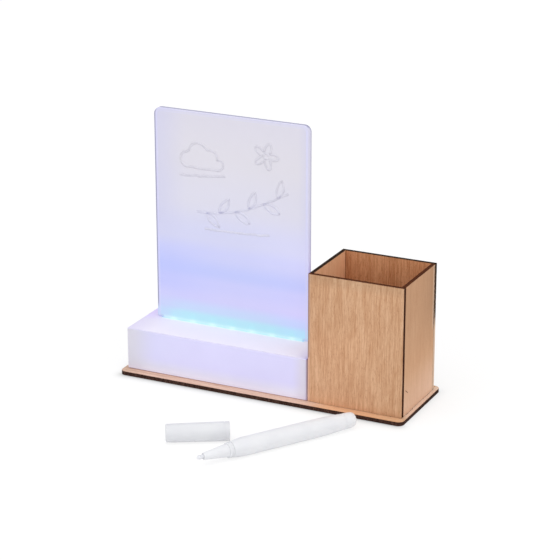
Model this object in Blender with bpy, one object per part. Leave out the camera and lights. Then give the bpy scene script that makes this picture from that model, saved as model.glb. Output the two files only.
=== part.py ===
"""Desk writing board with a lit acrylic panel, a pen holder, and a marker with its cap off.

Metres, +Z up. The origin is the middle of the base plate's underside. +X runs towards the pen holder
and -Y faces the person at the desk.
"""

import math

import bmesh
import bpy
from mathutils import Matrix, Vector
from mathutils.geometry import interpolate_bezier

# Fits and facets
FIT_GAP = 0.0003
CUT_OVERRUN = 0.0010
MERGE_DISTANCE = 0.000001
CORNER_STEPS = 6
POST_STEPS = 20
TURN_STEPS = 40
SHARP_ANGLE = math.radians(32)

# Base plate, with the light box and the pen holder side by side on it
PLATE_THICKNESS = 0.0030
PLATE_CORNER_RADIUS = 0.0045
SIDE_MARGIN = 0.0032
FRONT_MARGIN = 0.0074
REAR_MARGIN = 0.0060
BODY_DEPTH = 0.0616
HOUSING_LENGTH = 0.1486
HOUSING_TO_HOLDER = 0.0010
HOLDER_WIDTH = 0.0740
HOLDER_HEIGHT = 0.0984

# Laser-cut boards of the pen holder, with tabs that drop into the plate
BOARD_THICKNESS = 0.0030
BOARD_TAB_WIDTH = 0.0120
BOARD_TAB_PLACE_SHARES = (-0.3, 0.3)

# Light box cover
HOUSING_HEIGHT = 0.0326
COVER_WALL = 0.0022
COVER_TOP = 0.0024
COVER_EDGE_RADIUS = 0.0006
COVER_EDGE_STEPS = 2
COVER_RIB_THICKNESS = 0.0010
COVER_RIB_DEPTH = 0.0012
FRONT_RIB_PLACE_SHARES = (0.14, 0.32, 0.50, 0.68, 0.86)
REAR_RIB_PLACE_SHARES = (0.14, 0.32, 0.50)
BOSS_RADIUS = 0.0036
BOSS_INSET = 0.0052
BOSS_GUSSET_LENGTH = 0.0030

# Slot in the cover's top and the collar under it that holds the panel upright
SLOT_CLEARANCE = 0.0004
SLOT_LEAD_IN = 0.0006
COLLAR_WALL = 0.0016
COLLAR_DEPTH = 0.0100

# Writing panel
PANEL_LEFT_INSET = 0.0090
PANEL_RIGHT_INSET = 0.0133
PANEL_SETBACK = 0.0319
PANEL_THICKNESS = 0.0040
PANEL_HEIGHT = 0.1647
PANEL_CORNER_RADIUS = 0.0050
PANEL_EDGE_BEVEL = 0.0003
SHOULDER_WIDTH = 0.0045
SHOULDER_CORNER_RADIUS = 0.0012
PANEL_TAB_DEPTH = 0.0180

# Tray that closes the light box from below
TRAY_THICKNESS = 0.0020
TRAY_RIB_THICKNESS = 0.0010
TRAY_RIB_HEIGHT = 0.0026

# Light rail, strip and lamps
RAIL_WALL = 0.0016
RAIL_WEB = 0.0020
STRIP_WIDTH = 0.0100
STRIP_THICKNESS = 0.0004
LED_PITCH = 0.0166
LED_SIZE = 0.0050
LED_HEIGHT = 0.0016
LED_RIM = 0.0006
LED_RECESS = 0.0004
LED_TO_TAB = 0.0012

# Control board and what is soldered to it
CIRCUIT_LENGTH = 0.0460
CIRCUIT_THICKNESS = 0.0016
CIRCUIT_RAIL_CLEARANCE = 0.0010
CIRCUIT_WALL_CLEARANCE = 0.0005
CIRCUIT_BOSS_CLEARANCE = 0.0020
CIRCUIT_POST_HEIGHT = 0.0040
CIRCUIT_POST_RADIUS = 0.0016
CIRCUIT_POST_INSET = 0.0022
CIRCUIT_SCREW_INSET_LEFT = 0.0030
CIRCUIT_SCREW_INSET_RIGHT = 0.0060
CIRCUIT_SCREW_POST_RADIUS = 0.0024
SOCKET_PLACE_SHARE = 0.24
CHIP_PLACE_SHARE = 0.42
COIL_PLACE_SHARE = 0.55
SWITCH_PLACE_SHARE = 0.74
CHIP_SIZE = 0.0040
CHIP_HEIGHT = 0.0010
CHIP_BEVEL = 0.0002
COIL_RADIUS = 0.0020
COIL_CORE_RADIUS = 0.0013
COIL_HEIGHT = 0.0022
COIL_FLANGE = 0.0005
PAD_INSET = 0.0010

# Charging socket
SOCKET_WIDTH = 0.0090
SOCKET_HEIGHT = 0.0032
SOCKET_DEPTH = 0.0074
SOCKET_SHELL = 0.0003
SOCKET_RECESS = 0.0005
TONGUE_WIDTH = 0.0066
TONGUE_THICKNESS = 0.0007
TONGUE_SETBACK = 0.0008
TONGUE_ROOT_DEPTH = 0.0020

# Push button and its switch
BUTTON_RADIUS = 0.0030
BUTTON_PROUD = 0.0014
BUTTON_EDGE = 0.0005
BUTTON_LIP = 0.0010
BUTTON_LIP_THICKNESS = 0.0010
BUTTON_TRAVEL = 0.0008
STEM_RADIUS = 0.0012
SWITCH_WIDTH = 0.0060
SWITCH_DEPTH = 0.0036
SWITCH_BACK = 0.0006
SWITCH_BEVEL = 0.0003

# Flat rechargeable cell on a foam pad
CELL_LENGTH = 0.0600
CELL_HEIGHT = 0.0075
CELL_EDGE_RADIUS = 0.0015
CELL_EDGE_STEPS = 3
CELL_RIGHT_CLEARANCE = 0.0200
CELL_PAD_THICKNESS = 0.0008
CELL_PAD_INSET = 0.0015

# Leads
LEAD_RADIUS = 0.0005
LEAD_LAP = 0.0030
LEAD_SPREAD = 0.0026
LEAD_STUB = 0.0030
LEAD_RISE = 0.0040
LEAD_DROP = 0.0026
LEAD_FIRST_LANE = 0.0015
LEAD_PITCH = 0.0015
LEAD_COUNT = 4
LEAD_SAMPLES = 5

# Screws
HOUSING_SCREW_RADIUS = 0.0014
HOUSING_SCREW_LENGTH = 0.0140
HOUSING_SCREW_HEAD_RADIUS = 0.0028
HOUSING_SCREW_HEAD_HEIGHT = 0.0016
CIRCUIT_SCREW_RADIUS = 0.0009
CIRCUIT_SCREW_LENGTH = 0.0050
CIRCUIT_SCREW_HEAD_RADIUS = 0.0019
CIRCUIT_SCREW_HEAD_HEIGHT = 0.0012
SCREW_POINT_SHARE = 0.12
SCREW_CROSS_LENGTH_SHARE = 0.62
SCREW_CROSS_WIDTH_SHARE = 0.20
SCREW_CROSS_DEPTH_SHARE = 0.60

# Marker, lying in front of the plate, measured from the point of its nib
MARKER_TIP_X = 0.0153
MARKER_TIP_FORWARD = 0.1225
MARKER_TURN = math.radians(57.1)
MARKER_RADIUS = 0.0067
NIB_RADIUS = 0.0015
NIB_POINT_RADIUS = 0.0007
NIB_POINT_LENGTH = 0.0012
NIB_SHOWING = 0.0048
SECTION_NOSE_RADIUS = 0.0026
SECTION_ROOT_RADIUS = 0.0047
SECTION_CONE_LENGTH = 0.0187
SECTION_COLLAR_RADIUS = 0.0055
SECTION_COLLAR_LENGTH = 0.0031
SECTION_SPIGOT_LENGTH = 0.0090
BARREL_LENGTH = 0.0911
BARREL_NOSE_RADIUS = 0.0056
BARREL_NOSE_LENGTH = 0.0110
BARREL_TAIL_RADIUS = 0.0057
BARREL_TAPER_LENGTH = 0.0280
BARREL_NOSE_BORE = 0.0046
BARREL_BORE = 0.0053
RESERVOIR_LENGTH = 0.0700
PLUG_DOME_LENGTH = 0.0090
PLUG_END_RADIUS = 0.0030
PLUG_SPIGOT_LENGTH = 0.0050

# Marker cap, lying on its own
CAP_END_X = -0.0237
CAP_END_FORWARD = 0.0955
CAP_TURN = math.radians(30.2)
CAP_LENGTH = 0.0449
CAP_MOUTH_RADIUS = 0.0069
CAP_END_RADIUS = 0.0065
CAP_EDGE_RADIUS = 0.0008
CAP_RING_PLACE = 0.0032
CAP_RING_WIDTH = 0.0007
CAP_RING_DEPTH = 0.00025
CAP_MOUTH_BORE = 0.0059
CAP_MOUTH_DEPTH = 0.0090
CAP_BORE = 0.0049
CAP_BORE_TAPER = 0.0020
CAP_END_WALL = 0.0022

# Places that follow from the sizes above
PLATE_LENGTH = 2 * SIDE_MARGIN + HOUSING_LENGTH + HOUSING_TO_HOLDER + HOLDER_WIDTH
PLATE_DEPTH = FRONT_MARGIN + BODY_DEPTH + REAR_MARGIN
PLATE_FRONT = -PLATE_DEPTH / 2
BODY_FRONT = PLATE_FRONT + FRONT_MARGIN
BODY_REAR = BODY_FRONT + BODY_DEPTH
HOUSING_LEFT = -PLATE_LENGTH / 2 + SIDE_MARGIN
HOUSING_RIGHT = HOUSING_LEFT + HOUSING_LENGTH
HOLDER_LEFT = HOUSING_RIGHT + HOUSING_TO_HOLDER
HOLDER_RIGHT = HOLDER_LEFT + HOLDER_WIDTH
SEAT = PLATE_THICKNESS + FIT_GAP
HOUSING_TOP = PLATE_THICKNESS + HOUSING_HEIGHT

INNER_LEFT = HOUSING_LEFT + COVER_WALL
INNER_RIGHT = HOUSING_RIGHT - COVER_WALL
INNER_FRONT = BODY_FRONT + COVER_WALL
INNER_REAR = BODY_REAR - COVER_WALL
INNER_TOP = HOUSING_TOP - COVER_TOP
COLLAR_BOTTOM = INNER_TOP - COLLAR_DEPTH
TRAY_TOP = SEAT + TRAY_THICKNESS

PANEL_LEFT = HOUSING_LEFT + PANEL_LEFT_INSET
PANEL_RIGHT = HOUSING_RIGHT - PANEL_RIGHT_INSET
PANEL_FRONT = BODY_FRONT + PANEL_SETBACK
PANEL_MIDDLE = PANEL_FRONT + PANEL_THICKNESS / 2
PANEL_SEAT = HOUSING_TOP + FIT_GAP
PANEL_TOP = HOUSING_TOP + PANEL_HEIGHT
TAB_LEFT = PANEL_LEFT + SHOULDER_WIDTH
TAB_RIGHT = PANEL_RIGHT - SHOULDER_WIDTH
TAB_BOTTOM = PANEL_SEAT - PANEL_TAB_DEPTH

LED_TOP = TAB_BOTTOM - LED_TO_TAB
LED_BOTTOM = LED_TOP - LED_HEIGHT
STRIP_TOP = LED_BOTTOM - FIT_GAP
STRIP_BOTTOM = STRIP_TOP - STRIP_THICKNESS
RAIL_WEB_TOP = STRIP_BOTTOM - FIT_GAP
RAIL_FOOT = TRAY_TOP + FIT_GAP
RAIL_TOP = COLLAR_BOTTOM - FIT_GAP
RAIL_HALF_WIDTH = STRIP_WIDTH / 2 + FIT_GAP + RAIL_WALL
RAIL_FRONT = PANEL_MIDDLE - RAIL_HALF_WIDTH
RAIL_REAR = PANEL_MIDDLE + RAIL_HALF_WIDTH
LED_COUNT = int((TAB_RIGHT - TAB_LEFT) / LED_PITCH)
STRIP_LENGTH = LED_COUNT * LED_PITCH
STRIP_LEFT = (TAB_LEFT + TAB_RIGHT - STRIP_LENGTH) / 2
STRIP_RIGHT = STRIP_LEFT + STRIP_LENGTH

BOSS_PLACES = [
    (x, y)
    for x in (HOUSING_LEFT + BOSS_INSET, HOUSING_RIGHT - BOSS_INSET)
    for y in (BODY_FRONT + BOSS_INSET, BODY_REAR - BOSS_INSET)
]

CIRCUIT_RIGHT = HOUSING_RIGHT - BOSS_INSET - BOSS_RADIUS - CIRCUIT_BOSS_CLEARANCE
CIRCUIT_LEFT = CIRCUIT_RIGHT - CIRCUIT_LENGTH
CIRCUIT_FRONT = RAIL_REAR + CIRCUIT_RAIL_CLEARANCE
CIRCUIT_REAR = INNER_REAR - CIRCUIT_WALL_CLEARANCE
CIRCUIT_MIDDLE = (CIRCUIT_FRONT + CIRCUIT_REAR) / 2
CIRCUIT_BOTTOM = TRAY_TOP + CIRCUIT_POST_HEIGHT + FIT_GAP
CIRCUIT_TOP = CIRCUIT_BOTTOM + CIRCUIT_THICKNESS
COMPONENT_SEAT = CIRCUIT_TOP + FIT_GAP
CIRCUIT_SCREW_PLACES = (
    (CIRCUIT_LEFT + CIRCUIT_SCREW_INSET_LEFT, CIRCUIT_MIDDLE),
    (CIRCUIT_RIGHT - CIRCUIT_SCREW_INSET_RIGHT, CIRCUIT_MIDDLE),
)

SOCKET_MIDDLE = CIRCUIT_LEFT + SOCKET_PLACE_SHARE * CIRCUIT_LENGTH
SOCKET_MOUTH = BODY_REAR - SOCKET_RECESS
SOCKET_AXIS_HEIGHT = COMPONENT_SEAT + SOCKET_HEIGHT / 2

BUTTON_LIP_RADIUS = BUTTON_RADIUS + BUTTON_LIP
BUTTON_X = CIRCUIT_LEFT + SWITCH_PLACE_SHARE * CIRCUIT_LENGTH
BUTTON_Z = COMPONENT_SEAT + BUTTON_LIP_RADIUS + FIT_GAP
BUTTON_LIP_REAR = INNER_REAR - FIT_GAP
BUTTON_LIP_FRONT = BUTTON_LIP_REAR - BUTTON_LIP_THICKNESS
SWITCH_REAR = BUTTON_LIP_FRONT - BUTTON_TRAVEL - FIT_GAP
SWITCH_FRONT = SWITCH_REAR - SWITCH_DEPTH
SWITCH_BORE_END = SWITCH_FRONT + SWITCH_BACK
STEM_END = SWITCH_BORE_END + BUTTON_TRAVEL + FIT_GAP

CELL_FRAME_FRONT = INNER_FRONT + COVER_RIB_DEPTH + FIT_GAP
CELL_FRONT = CELL_FRAME_FRONT + TRAY_RIB_THICKNESS + FIT_GAP
CELL_FRAME_REAR = RAIL_FRONT - FIT_GAP - TRAY_RIB_THICKNESS - FIT_GAP
CELL_REAR = CELL_FRAME_REAR - TRAY_RIB_THICKNESS - FIT_GAP
CELL_RIGHT = INNER_RIGHT - CELL_RIGHT_CLEARANCE
CELL_LEFT = CELL_RIGHT - CELL_LENGTH
CELL_MIDDLE = (CELL_FRONT + CELL_REAR) / 2
CELL_PAD_BOTTOM = TRAY_TOP + FIT_GAP
CELL_BOTTOM = CELL_PAD_BOTTOM + CELL_PAD_THICKNESS + FIT_GAP
CELL_TOP = CELL_BOTTOM + CELL_HEIGHT

SECTION_ROOT = NIB_SHOWING + SECTION_CONE_LENGTH
SECTION_COLLAR_END = SECTION_ROOT + SECTION_COLLAR_LENGTH
SECTION_END = SECTION_COLLAR_END + SECTION_SPIGOT_LENGTH
SECTION_BORE = NIB_RADIUS + FIT_GAP
BARREL_START = SECTION_COLLAR_END + FIT_GAP
BARREL_END = BARREL_START + BARREL_LENGTH
RESERVOIR_START = SECTION_END + 2 * FIT_GAP
NIB_END = RESERVOIR_START - FIT_GAP


# Modelling helpers

def clear_scene():
    for thing in list(bpy.data.objects):
        bpy.data.objects.remove(thing, do_unlink=True)


def surface(name, colour, roughness, metallic=0.0):
    """A Principled material with this base colour."""
    made = bpy.data.materials.new(name)
    made.use_nodes = True
    shader = made.node_tree.nodes["Principled BSDF"]
    shader.inputs["Base Color"].default_value = (*colour, 1.0)
    shader.inputs["Roughness"].default_value = roughness
    shader.inputs["Metallic"].default_value = metallic
    made.diffuse_color = (*colour, 1.0)
    return made


def arc(centre, radius, start, end, steps=CORNER_STEPS):
    """Points on a circle from one angle to another, in degrees, both ends included."""
    points = []
    for step in range(steps + 1):
        angle = math.radians(start + (end - start) * step / steps)
        points.append((centre[0] + radius * math.cos(angle), centre[1] + radius * math.sin(angle)))
    return points


def rounded_rectangle(left, right, low, high, radius, steps=CORNER_STEPS):
    """A rectangle's outline with round corners, anticlockwise."""
    return (
        arc((right - radius, high - radius), radius, 0, 90, steps)
        + arc((left + radius, high - radius), radius, 90, 180, steps)
        + arc((left + radius, low + radius), radius, 180, 270, steps)
        + arc((right - radius, low + radius), radius, 270, 360, steps)
    )


def stadium(middle, height, half_width, radius, steps=CORNER_STEPS):
    """A slot's outline: straight above and below, a half circle at each end."""
    reach = half_width - radius
    return arc((middle + reach, height), radius, -90, 90, 2 * steps) + arc(
        (middle - reach, height), radius, 90, 270, 2 * steps
    )


def rectangle(left, right, low, high):
    return [(left, low), (right, low), (right, high), (left, high)]


def placed(u, v, along, axis):
    """The point of an outline that is drawn across the axis, at a distance along it."""
    if axis == "X":
        return (along, u, v)
    if axis == "Y":
        return (u, along, v)
    return (u, v, along)


def add_prism(shape, outline, start, end, axis="Z"):
    """Extrudes an outline from start to end along the axis."""
    corners = [shape.verts.new(placed(u, v, start, axis)) for u, v in outline]
    face = shape.faces.new(corners)
    extruded = bmesh.ops.extrude_face_region(shape, geom=[face])["geom"]
    moved = [item for item in extruded if isinstance(item, bmesh.types.BMVert)]
    bmesh.ops.translate(shape, verts=moved, vec=placed(0, 0, end - start, axis))
    return moved


def add_block(shape, low, high):
    """A box between two corners."""
    return add_prism(shape, rectangle(low[0], high[0], low[1], high[1]), low[2], high[2])


def add_turned(shape, profile, axis="X", centre=(0, 0, 0), steps=TURN_STEPS, closed=False):
    """Spins a profile of (place along the axis, radius) points round the axis through the centre."""
    rims = []
    for along, radius in profile:
        rims.append(shape.verts.new(Vector(placed(0, -radius, along, axis)) + Vector(centre)))
    pairs = list(zip(rims, rims[1:]))
    if closed:
        pairs.append((rims[-1], rims[0]))
    lines = [shape.edges.new(pair) for pair in pairs]
    bmesh.ops.spin(
        shape,
        geom=rims + lines,
        cent=centre,
        axis=placed(0, 0, 1, axis),
        angle=math.tau,
        steps=steps,
        use_merge=True,
    )
    bmesh.ops.remove_doubles(shape, verts=shape.verts[:], dist=MERGE_DISTANCE)


def add_post(shape, place, radius, low, high, steps=POST_STEPS):
    """An upright round post at an (x, y) place."""
    turn = math.tau / steps
    outline = [
        (place[0] + radius * math.cos(turn * step), place[1] + radius * math.sin(turn * step))
        for step in range(steps)
    ]
    return add_prism(shape, outline, low, high)


def solid(name, shape, finish, smooth=False):
    """Makes the shape an object with its faces pointing out."""
    bmesh.ops.recalc_face_normals(shape, faces=shape.faces[:])
    mesh = bpy.data.meshes.new(name)
    shape.to_mesh(mesh)
    shape.free()
    made = bpy.data.objects.new(name, mesh)
    bpy.context.scene.collection.objects.link(made)
    if finish:
        mesh.materials.append(finish)
    if smooth:
        mesh.shade_smooth()
        mesh.set_sharp_from_angle(angle=SHARP_ANGLE)
    return made


def combine(piece, shape, operation, name):
    """Cuts a shape from a piece, or fuses it on, and keeps the shape as a hidden helper."""
    helper = solid(name, shape, None)
    helper.hide_render = True
    helper.display_type = "WIRE"
    change = piece.modifiers.new(name, "BOOLEAN")
    change.operation = operation
    change.solver = "EXACT"
    change.object = helper
    helper.parent = piece.parent


def soften(piece, width, steps):
    """Rounds a piece's sharp edges."""
    edge = piece.modifiers.new("edge", "BEVEL")
    edge.width = width
    edge.segments = steps
    edge.limit_method = "ANGLE"
    edge.angle_limit = math.radians(50)


# Finishes

def plate_wood():
    return surface("plate wood", (0.80, 0.60, 0.45), 0.62)


def board_wood():
    return surface("holder wood", (0.66, 0.43, 0.26), 0.60)


def white_shell():
    return surface("white shell", (0.83, 0.82, 0.90), 0.42)


def white_inner():
    return surface("white inner plastic", (0.80, 0.80, 0.80), 0.50)


def frosted_acrylic():
    return surface("frosted acrylic", (0.74, 0.76, 0.94), 0.30)


def zinc_plate():
    return surface("zinc plate", (0.70, 0.71, 0.73), 0.35, 1.0)


def strip_film():
    return surface("strip film", (0.90, 0.90, 0.88), 0.45)


def lamp_body():
    return surface("lamp body", (0.92, 0.95, 0.90), 0.30)


def circuit_green():
    return surface("circuit green", (0.03, 0.25, 0.12), 0.40)


def chip_black():
    return surface("chip black", (0.03, 0.03, 0.03), 0.45)


def socket_steel():
    return surface("socket steel", (0.62, 0.63, 0.65), 0.28, 1.0)


def button_grey():
    return surface("button grey", (0.55, 0.55, 0.58), 0.45)


def cell_wrap():
    return surface("cell wrap", (0.55, 0.58, 0.62), 0.35, 0.6)


def foam_grey():
    return surface("foam grey", (0.12, 0.12, 0.12), 0.90)


def lead_red():
    return surface("red lead", (0.60, 0.04, 0.03), 0.45)


def lead_black():
    return surface("black lead", (0.02, 0.02, 0.02), 0.45)


def marker_white():
    return surface("marker white", (0.80, 0.80, 0.83), 0.38)


def nib_felt():
    return surface("nib felt", (0.55, 0.55, 0.60), 0.90)


def reservoir_fibre():
    return surface("reservoir fibre", (0.25, 0.26, 0.32), 0.95)


# Base plate and pen holder

def tab_slots(middle, length, across, axis):
    """The outlines of the plate's slots for one board's tabs."""
    outlines = []
    half_tab = BOARD_TAB_WIDTH / 2 + FIT_GAP
    half_board = BOARD_THICKNESS / 2 + FIT_GAP
    for share in BOARD_TAB_PLACE_SHARES:
        place = middle + share * length
        along = (place - half_tab, place + half_tab)
        thick = (across - half_board, across + half_board)
        outlines.append(rectangle(*along, *thick) if axis == "X" else rectangle(*thick, *along))
    return outlines


def holder_side_length():
    return BODY_DEPTH - 2 * BOARD_THICKNESS - 2 * FIT_GAP


def base_plate():
    shape = bmesh.new()
    outline = rounded_rectangle(
        -PLATE_LENGTH / 2, PLATE_LENGTH / 2, PLATE_FRONT, PLATE_FRONT + PLATE_DEPTH, PLATE_CORNER_RADIUS
    )
    add_prism(shape, outline, 0, PLATE_THICKNESS)
    plate = solid("base_plate", shape, plate_wood())

    cuts = bmesh.new()
    holder_middle = (HOLDER_LEFT + HOLDER_RIGHT) / 2
    body_middle = (BODY_FRONT + BODY_REAR) / 2
    half_board = BOARD_THICKNESS / 2
    slots = tab_slots(holder_middle, HOLDER_WIDTH, BODY_FRONT + half_board, "X")
    slots += tab_slots(holder_middle, HOLDER_WIDTH, BODY_REAR - half_board, "X")
    slots += tab_slots(body_middle, holder_side_length(), HOLDER_LEFT + half_board, "Y")
    slots += tab_slots(body_middle, holder_side_length(), HOLDER_RIGHT - half_board, "Y")
    for outline in slots:
        add_prism(cuts, outline, -CUT_OVERRUN, PLATE_THICKNESS + CUT_OVERRUN)
    shank = HOUSING_SCREW_RADIUS + FIT_GAP
    head = HOUSING_SCREW_HEAD_RADIUS + FIT_GAP
    sink_end = HOUSING_SCREW_HEAD_HEIGHT + FIT_GAP
    profile = [
        (-CUT_OVERRUN, 0),
        (-CUT_OVERRUN, head),
        (FIT_GAP, head),
        (sink_end, shank),
        (PLATE_THICKNESS + CUT_OVERRUN, shank),
        (PLATE_THICKNESS + CUT_OVERRUN, 0),
    ]
    for x, y in BOSS_PLACES:
        add_turned(cuts, profile, "Z", (x, y, 0), POST_STEPS)
    combine(plate, cuts, "DIFFERENCE", "plate_cuts")
    return plate


def board_outline(start, end):
    """A holder board's face: a rectangle with tabs along its lower edge."""
    middle = (start + end) / 2
    length = end - start
    top = PLATE_THICKNESS + HOLDER_HEIGHT
    points = [(start, SEAT)]
    for share in BOARD_TAB_PLACE_SHARES:
        left = middle + share * length - BOARD_TAB_WIDTH / 2
        right = left + BOARD_TAB_WIDTH
        points += [(left, SEAT), (left, FIT_GAP), (right, FIT_GAP), (right, SEAT)]
    return points + [(end, SEAT), (end, top), (start, top)]


def holder_board(name, span, across, axis):
    """One laser-cut board, between two places across its face."""
    shape = bmesh.new()
    add_prism(shape, board_outline(*span), across[0], across[1], axis)
    return solid(name, shape, board_wood())


def pen_holder():
    width = (HOLDER_LEFT, HOLDER_RIGHT)
    depth = (BODY_FRONT + BOARD_THICKNESS + FIT_GAP, BODY_REAR - BOARD_THICKNESS - FIT_GAP)
    holder_board("holder_front_board", width, (BODY_FRONT, BODY_FRONT + BOARD_THICKNESS), "Y")
    holder_board("holder_back_board", width, (BODY_REAR - BOARD_THICKNESS, BODY_REAR), "Y")
    holder_board("holder_left_board", depth, (HOLDER_LEFT, HOLDER_LEFT + BOARD_THICKNESS), "X")
    holder_board("holder_right_board", depth, (HOLDER_RIGHT - BOARD_THICKNESS, HOLDER_RIGHT), "X")


# Light box

def cover_inner_forms():
    """Bosses, gussets, ribs and the slot's collar, which hang from the cover's top."""
    forms = bmesh.new()
    low = RAIL_FOOT
    high = INNER_TOP + COVER_TOP / 2
    for x, y in BOSS_PLACES:
        add_post(forms, (x, y), BOSS_RADIUS, low, high)
    collar_half = PANEL_THICKNESS / 2 + SLOT_CLEARANCE + COLLAR_WALL
    side = SLOT_CLEARANCE + COLLAR_WALL
    add_block(
        forms,
        (TAB_LEFT - side, PANEL_MIDDLE - collar_half, COLLAR_BOTTOM),
        (TAB_RIGHT + side, PANEL_MIDDLE + collar_half, high),
    )
    half_rib = COVER_RIB_THICKNESS / 2
    root = COVER_WALL / 2
    rib_low = TRAY_TOP + TRAY_RIB_HEIGHT
    for share in FRONT_RIB_PLACE_SHARES:
        x = HOUSING_LEFT + share * HOUSING_LENGTH
        add_block(
            forms,
            (x - half_rib, INNER_FRONT - root, rib_low),
            (x + half_rib, INNER_FRONT + COVER_RIB_DEPTH, high),
        )
    for share in REAR_RIB_PLACE_SHARES:
        x = HOUSING_LEFT + share * (CIRCUIT_LEFT - HOUSING_LEFT)
        add_block(
            forms,
            (x - half_rib, INNER_REAR - COVER_RIB_DEPTH, rib_low),
            (x + half_rib, INNER_REAR + root, high),
        )
    return forms


def boss_gussets():
    """A web from each boss towards the middle of the long wall."""
    webs = bmesh.new()
    half_rib = COVER_RIB_THICKNESS / 2
    for x, y in BOSS_PLACES:
        reach = BOSS_RADIUS + BOSS_GUSSET_LENGTH
        left, right = (x, x + reach) if x < (HOUSING_LEFT + HOUSING_RIGHT) / 2 else (x - reach, x)
        add_block(
            webs,
            (left, y - half_rib, INNER_TOP - BOSS_GUSSET_LENGTH),
            (right, y + half_rib, INNER_TOP + COVER_TOP / 2),
        )
    return webs


def slot_cut():
    """The slot through the cover's top and collar, wider at its mouth."""
    cut = bmesh.new()
    half = PANEL_THICKNESS / 2 + SLOT_CLEARANCE
    outline = rectangle(
        TAB_LEFT - SLOT_CLEARANCE, TAB_RIGHT + SLOT_CLEARANCE, PANEL_MIDDLE - half, PANEL_MIDDLE + half
    )
    mouth = add_prism(cut, outline, COLLAR_BOTTOM - CUT_OVERRUN, HOUSING_TOP - SLOT_LEAD_IN)
    lip = next(face for face in cut.faces if all(corner in mouth for corner in face.verts))
    raised = bmesh.ops.extrude_face_region(cut, geom=[lip])["geom"]
    bmesh.ops.delete(cut, geom=[lip], context="FACES_ONLY")
    rim = [item for item in raised if isinstance(item, bmesh.types.BMVert)]
    bmesh.ops.translate(cut, verts=rim, vec=(0, 0, SLOT_LEAD_IN + CUT_OVERRUN))
    centre = Vector(((TAB_LEFT + TAB_RIGHT) / 2, PANEL_MIDDLE, 0))
    for corner in rim:
        corner.co.x += math.copysign(SLOT_LEAD_IN + CUT_OVERRUN, corner.co.x - centre.x)
        corner.co.y += math.copysign(SLOT_LEAD_IN + CUT_OVERRUN, corner.co.y - centre.y)
    return cut


def cover_holes():
    """Pilot holes in the bosses, and the socket's and the button's holes in the rear wall."""
    cuts = bmesh.new()
    pilot = HOUSING_SCREW_RADIUS + FIT_GAP
    pilot_top = FIT_GAP + HOUSING_SCREW_LENGTH + FIT_GAP
    for place in BOSS_PLACES:
        add_post(cuts, place, pilot, RAIL_FOOT - CUT_OVERRUN, pilot_top)
    add_prism(cuts, socket_outline(-FIT_GAP), INNER_REAR - CUT_OVERRUN, BODY_REAR + CUT_OVERRUN, "Y")
    hole = BUTTON_RADIUS + FIT_GAP
    profile = [
        (INNER_REAR - CUT_OVERRUN, 0),
        (INNER_REAR - CUT_OVERRUN, hole),
        (BODY_REAR + CUT_OVERRUN, hole),
        (BODY_REAR + CUT_OVERRUN, 0),
    ]
    add_turned(cuts, profile, "Y", (BUTTON_X, 0, BUTTON_Z), POST_STEPS)
    return cuts


def housing_cover():
    shape = bmesh.new()
    add_block(shape, (HOUSING_LEFT, BODY_FRONT, SEAT), (HOUSING_RIGHT, BODY_REAR, HOUSING_TOP))
    cover = solid("housing_cover", shape, white_shell())
    soften(cover, COVER_EDGE_RADIUS, COVER_EDGE_STEPS)
    hollow = bmesh.new()
    add_block(
        hollow,
        (INNER_LEFT, INNER_FRONT, SEAT - CUT_OVERRUN),
        (INNER_RIGHT, INNER_REAR, INNER_TOP),
    )
    combine(cover, hollow, "DIFFERENCE", "cover_hollow")
    combine(cover, cover_inner_forms(), "UNION", "cover_inner_forms")
    combine(cover, boss_gussets(), "UNION", "cover_boss_gussets")
    combine(cover, slot_cut(), "DIFFERENCE", "cover_slot")
    combine(cover, cover_holes(), "DIFFERENCE", "cover_holes")
    return cover


def tray_ribs():
    """Ribs that hold the rail's feet and the cell, all rooted in the tray."""
    ribs = bmesh.new()
    low = SEAT + TRAY_THICKNESS / 2
    high = TRAY_TOP + TRAY_RIB_HEIGHT
    rail_left = TAB_LEFT
    rail_right = TAB_RIGHT
    for front in (RAIL_FRONT - FIT_GAP - TRAY_RIB_THICKNESS, RAIL_REAR + FIT_GAP):
        add_block(ribs, (rail_left, front, low), (rail_right, front + TRAY_RIB_THICKNESS, high))
    frame_left = CELL_LEFT - FIT_GAP - TRAY_RIB_THICKNESS
    frame_right = CELL_RIGHT + FIT_GAP
    for front in (CELL_FRAME_FRONT, CELL_FRAME_REAR - TRAY_RIB_THICKNESS):
        add_block(ribs, (CELL_LEFT, front, low), (CELL_RIGHT, front + TRAY_RIB_THICKNESS, high))
    add_block(ribs, (frame_left, CELL_FRONT, low), (frame_left + TRAY_RIB_THICKNESS, CELL_REAR, high))
    quarter = (CELL_REAR - CELL_FRONT) / 4
    stop_end = frame_right + TRAY_RIB_THICKNESS
    for front in (CELL_FRONT, CELL_REAR - quarter):
        add_block(ribs, (frame_right, front, low), (stop_end, front + quarter, high))
    return ribs


def tray_posts(places, radius):
    """Posts from the tray up to the control board."""
    posts = bmesh.new()
    for place in places:
        add_post(posts, place, radius, SEAT + TRAY_THICKNESS / 2, TRAY_TOP + CIRCUIT_POST_HEIGHT)
    return posts


def tray_holes():
    """Clearance holes for the housing screws, and pilot holes for the control board's screws."""
    cuts = bmesh.new()
    for place in BOSS_PLACES:
        add_post(cuts, place, HOUSING_SCREW_RADIUS + FIT_GAP, SEAT - CUT_OVERRUN, TRAY_TOP + CUT_OVERRUN)
    screw_end = COMPONENT_SEAT - CIRCUIT_SCREW_LENGTH - FIT_GAP
    for place in CIRCUIT_SCREW_PLACES:
        top = TRAY_TOP + CIRCUIT_POST_HEIGHT + CUT_OVERRUN
        add_post(cuts, place, CIRCUIT_SCREW_RADIUS + FIT_GAP, screw_end, top)
    return cuts


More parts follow.
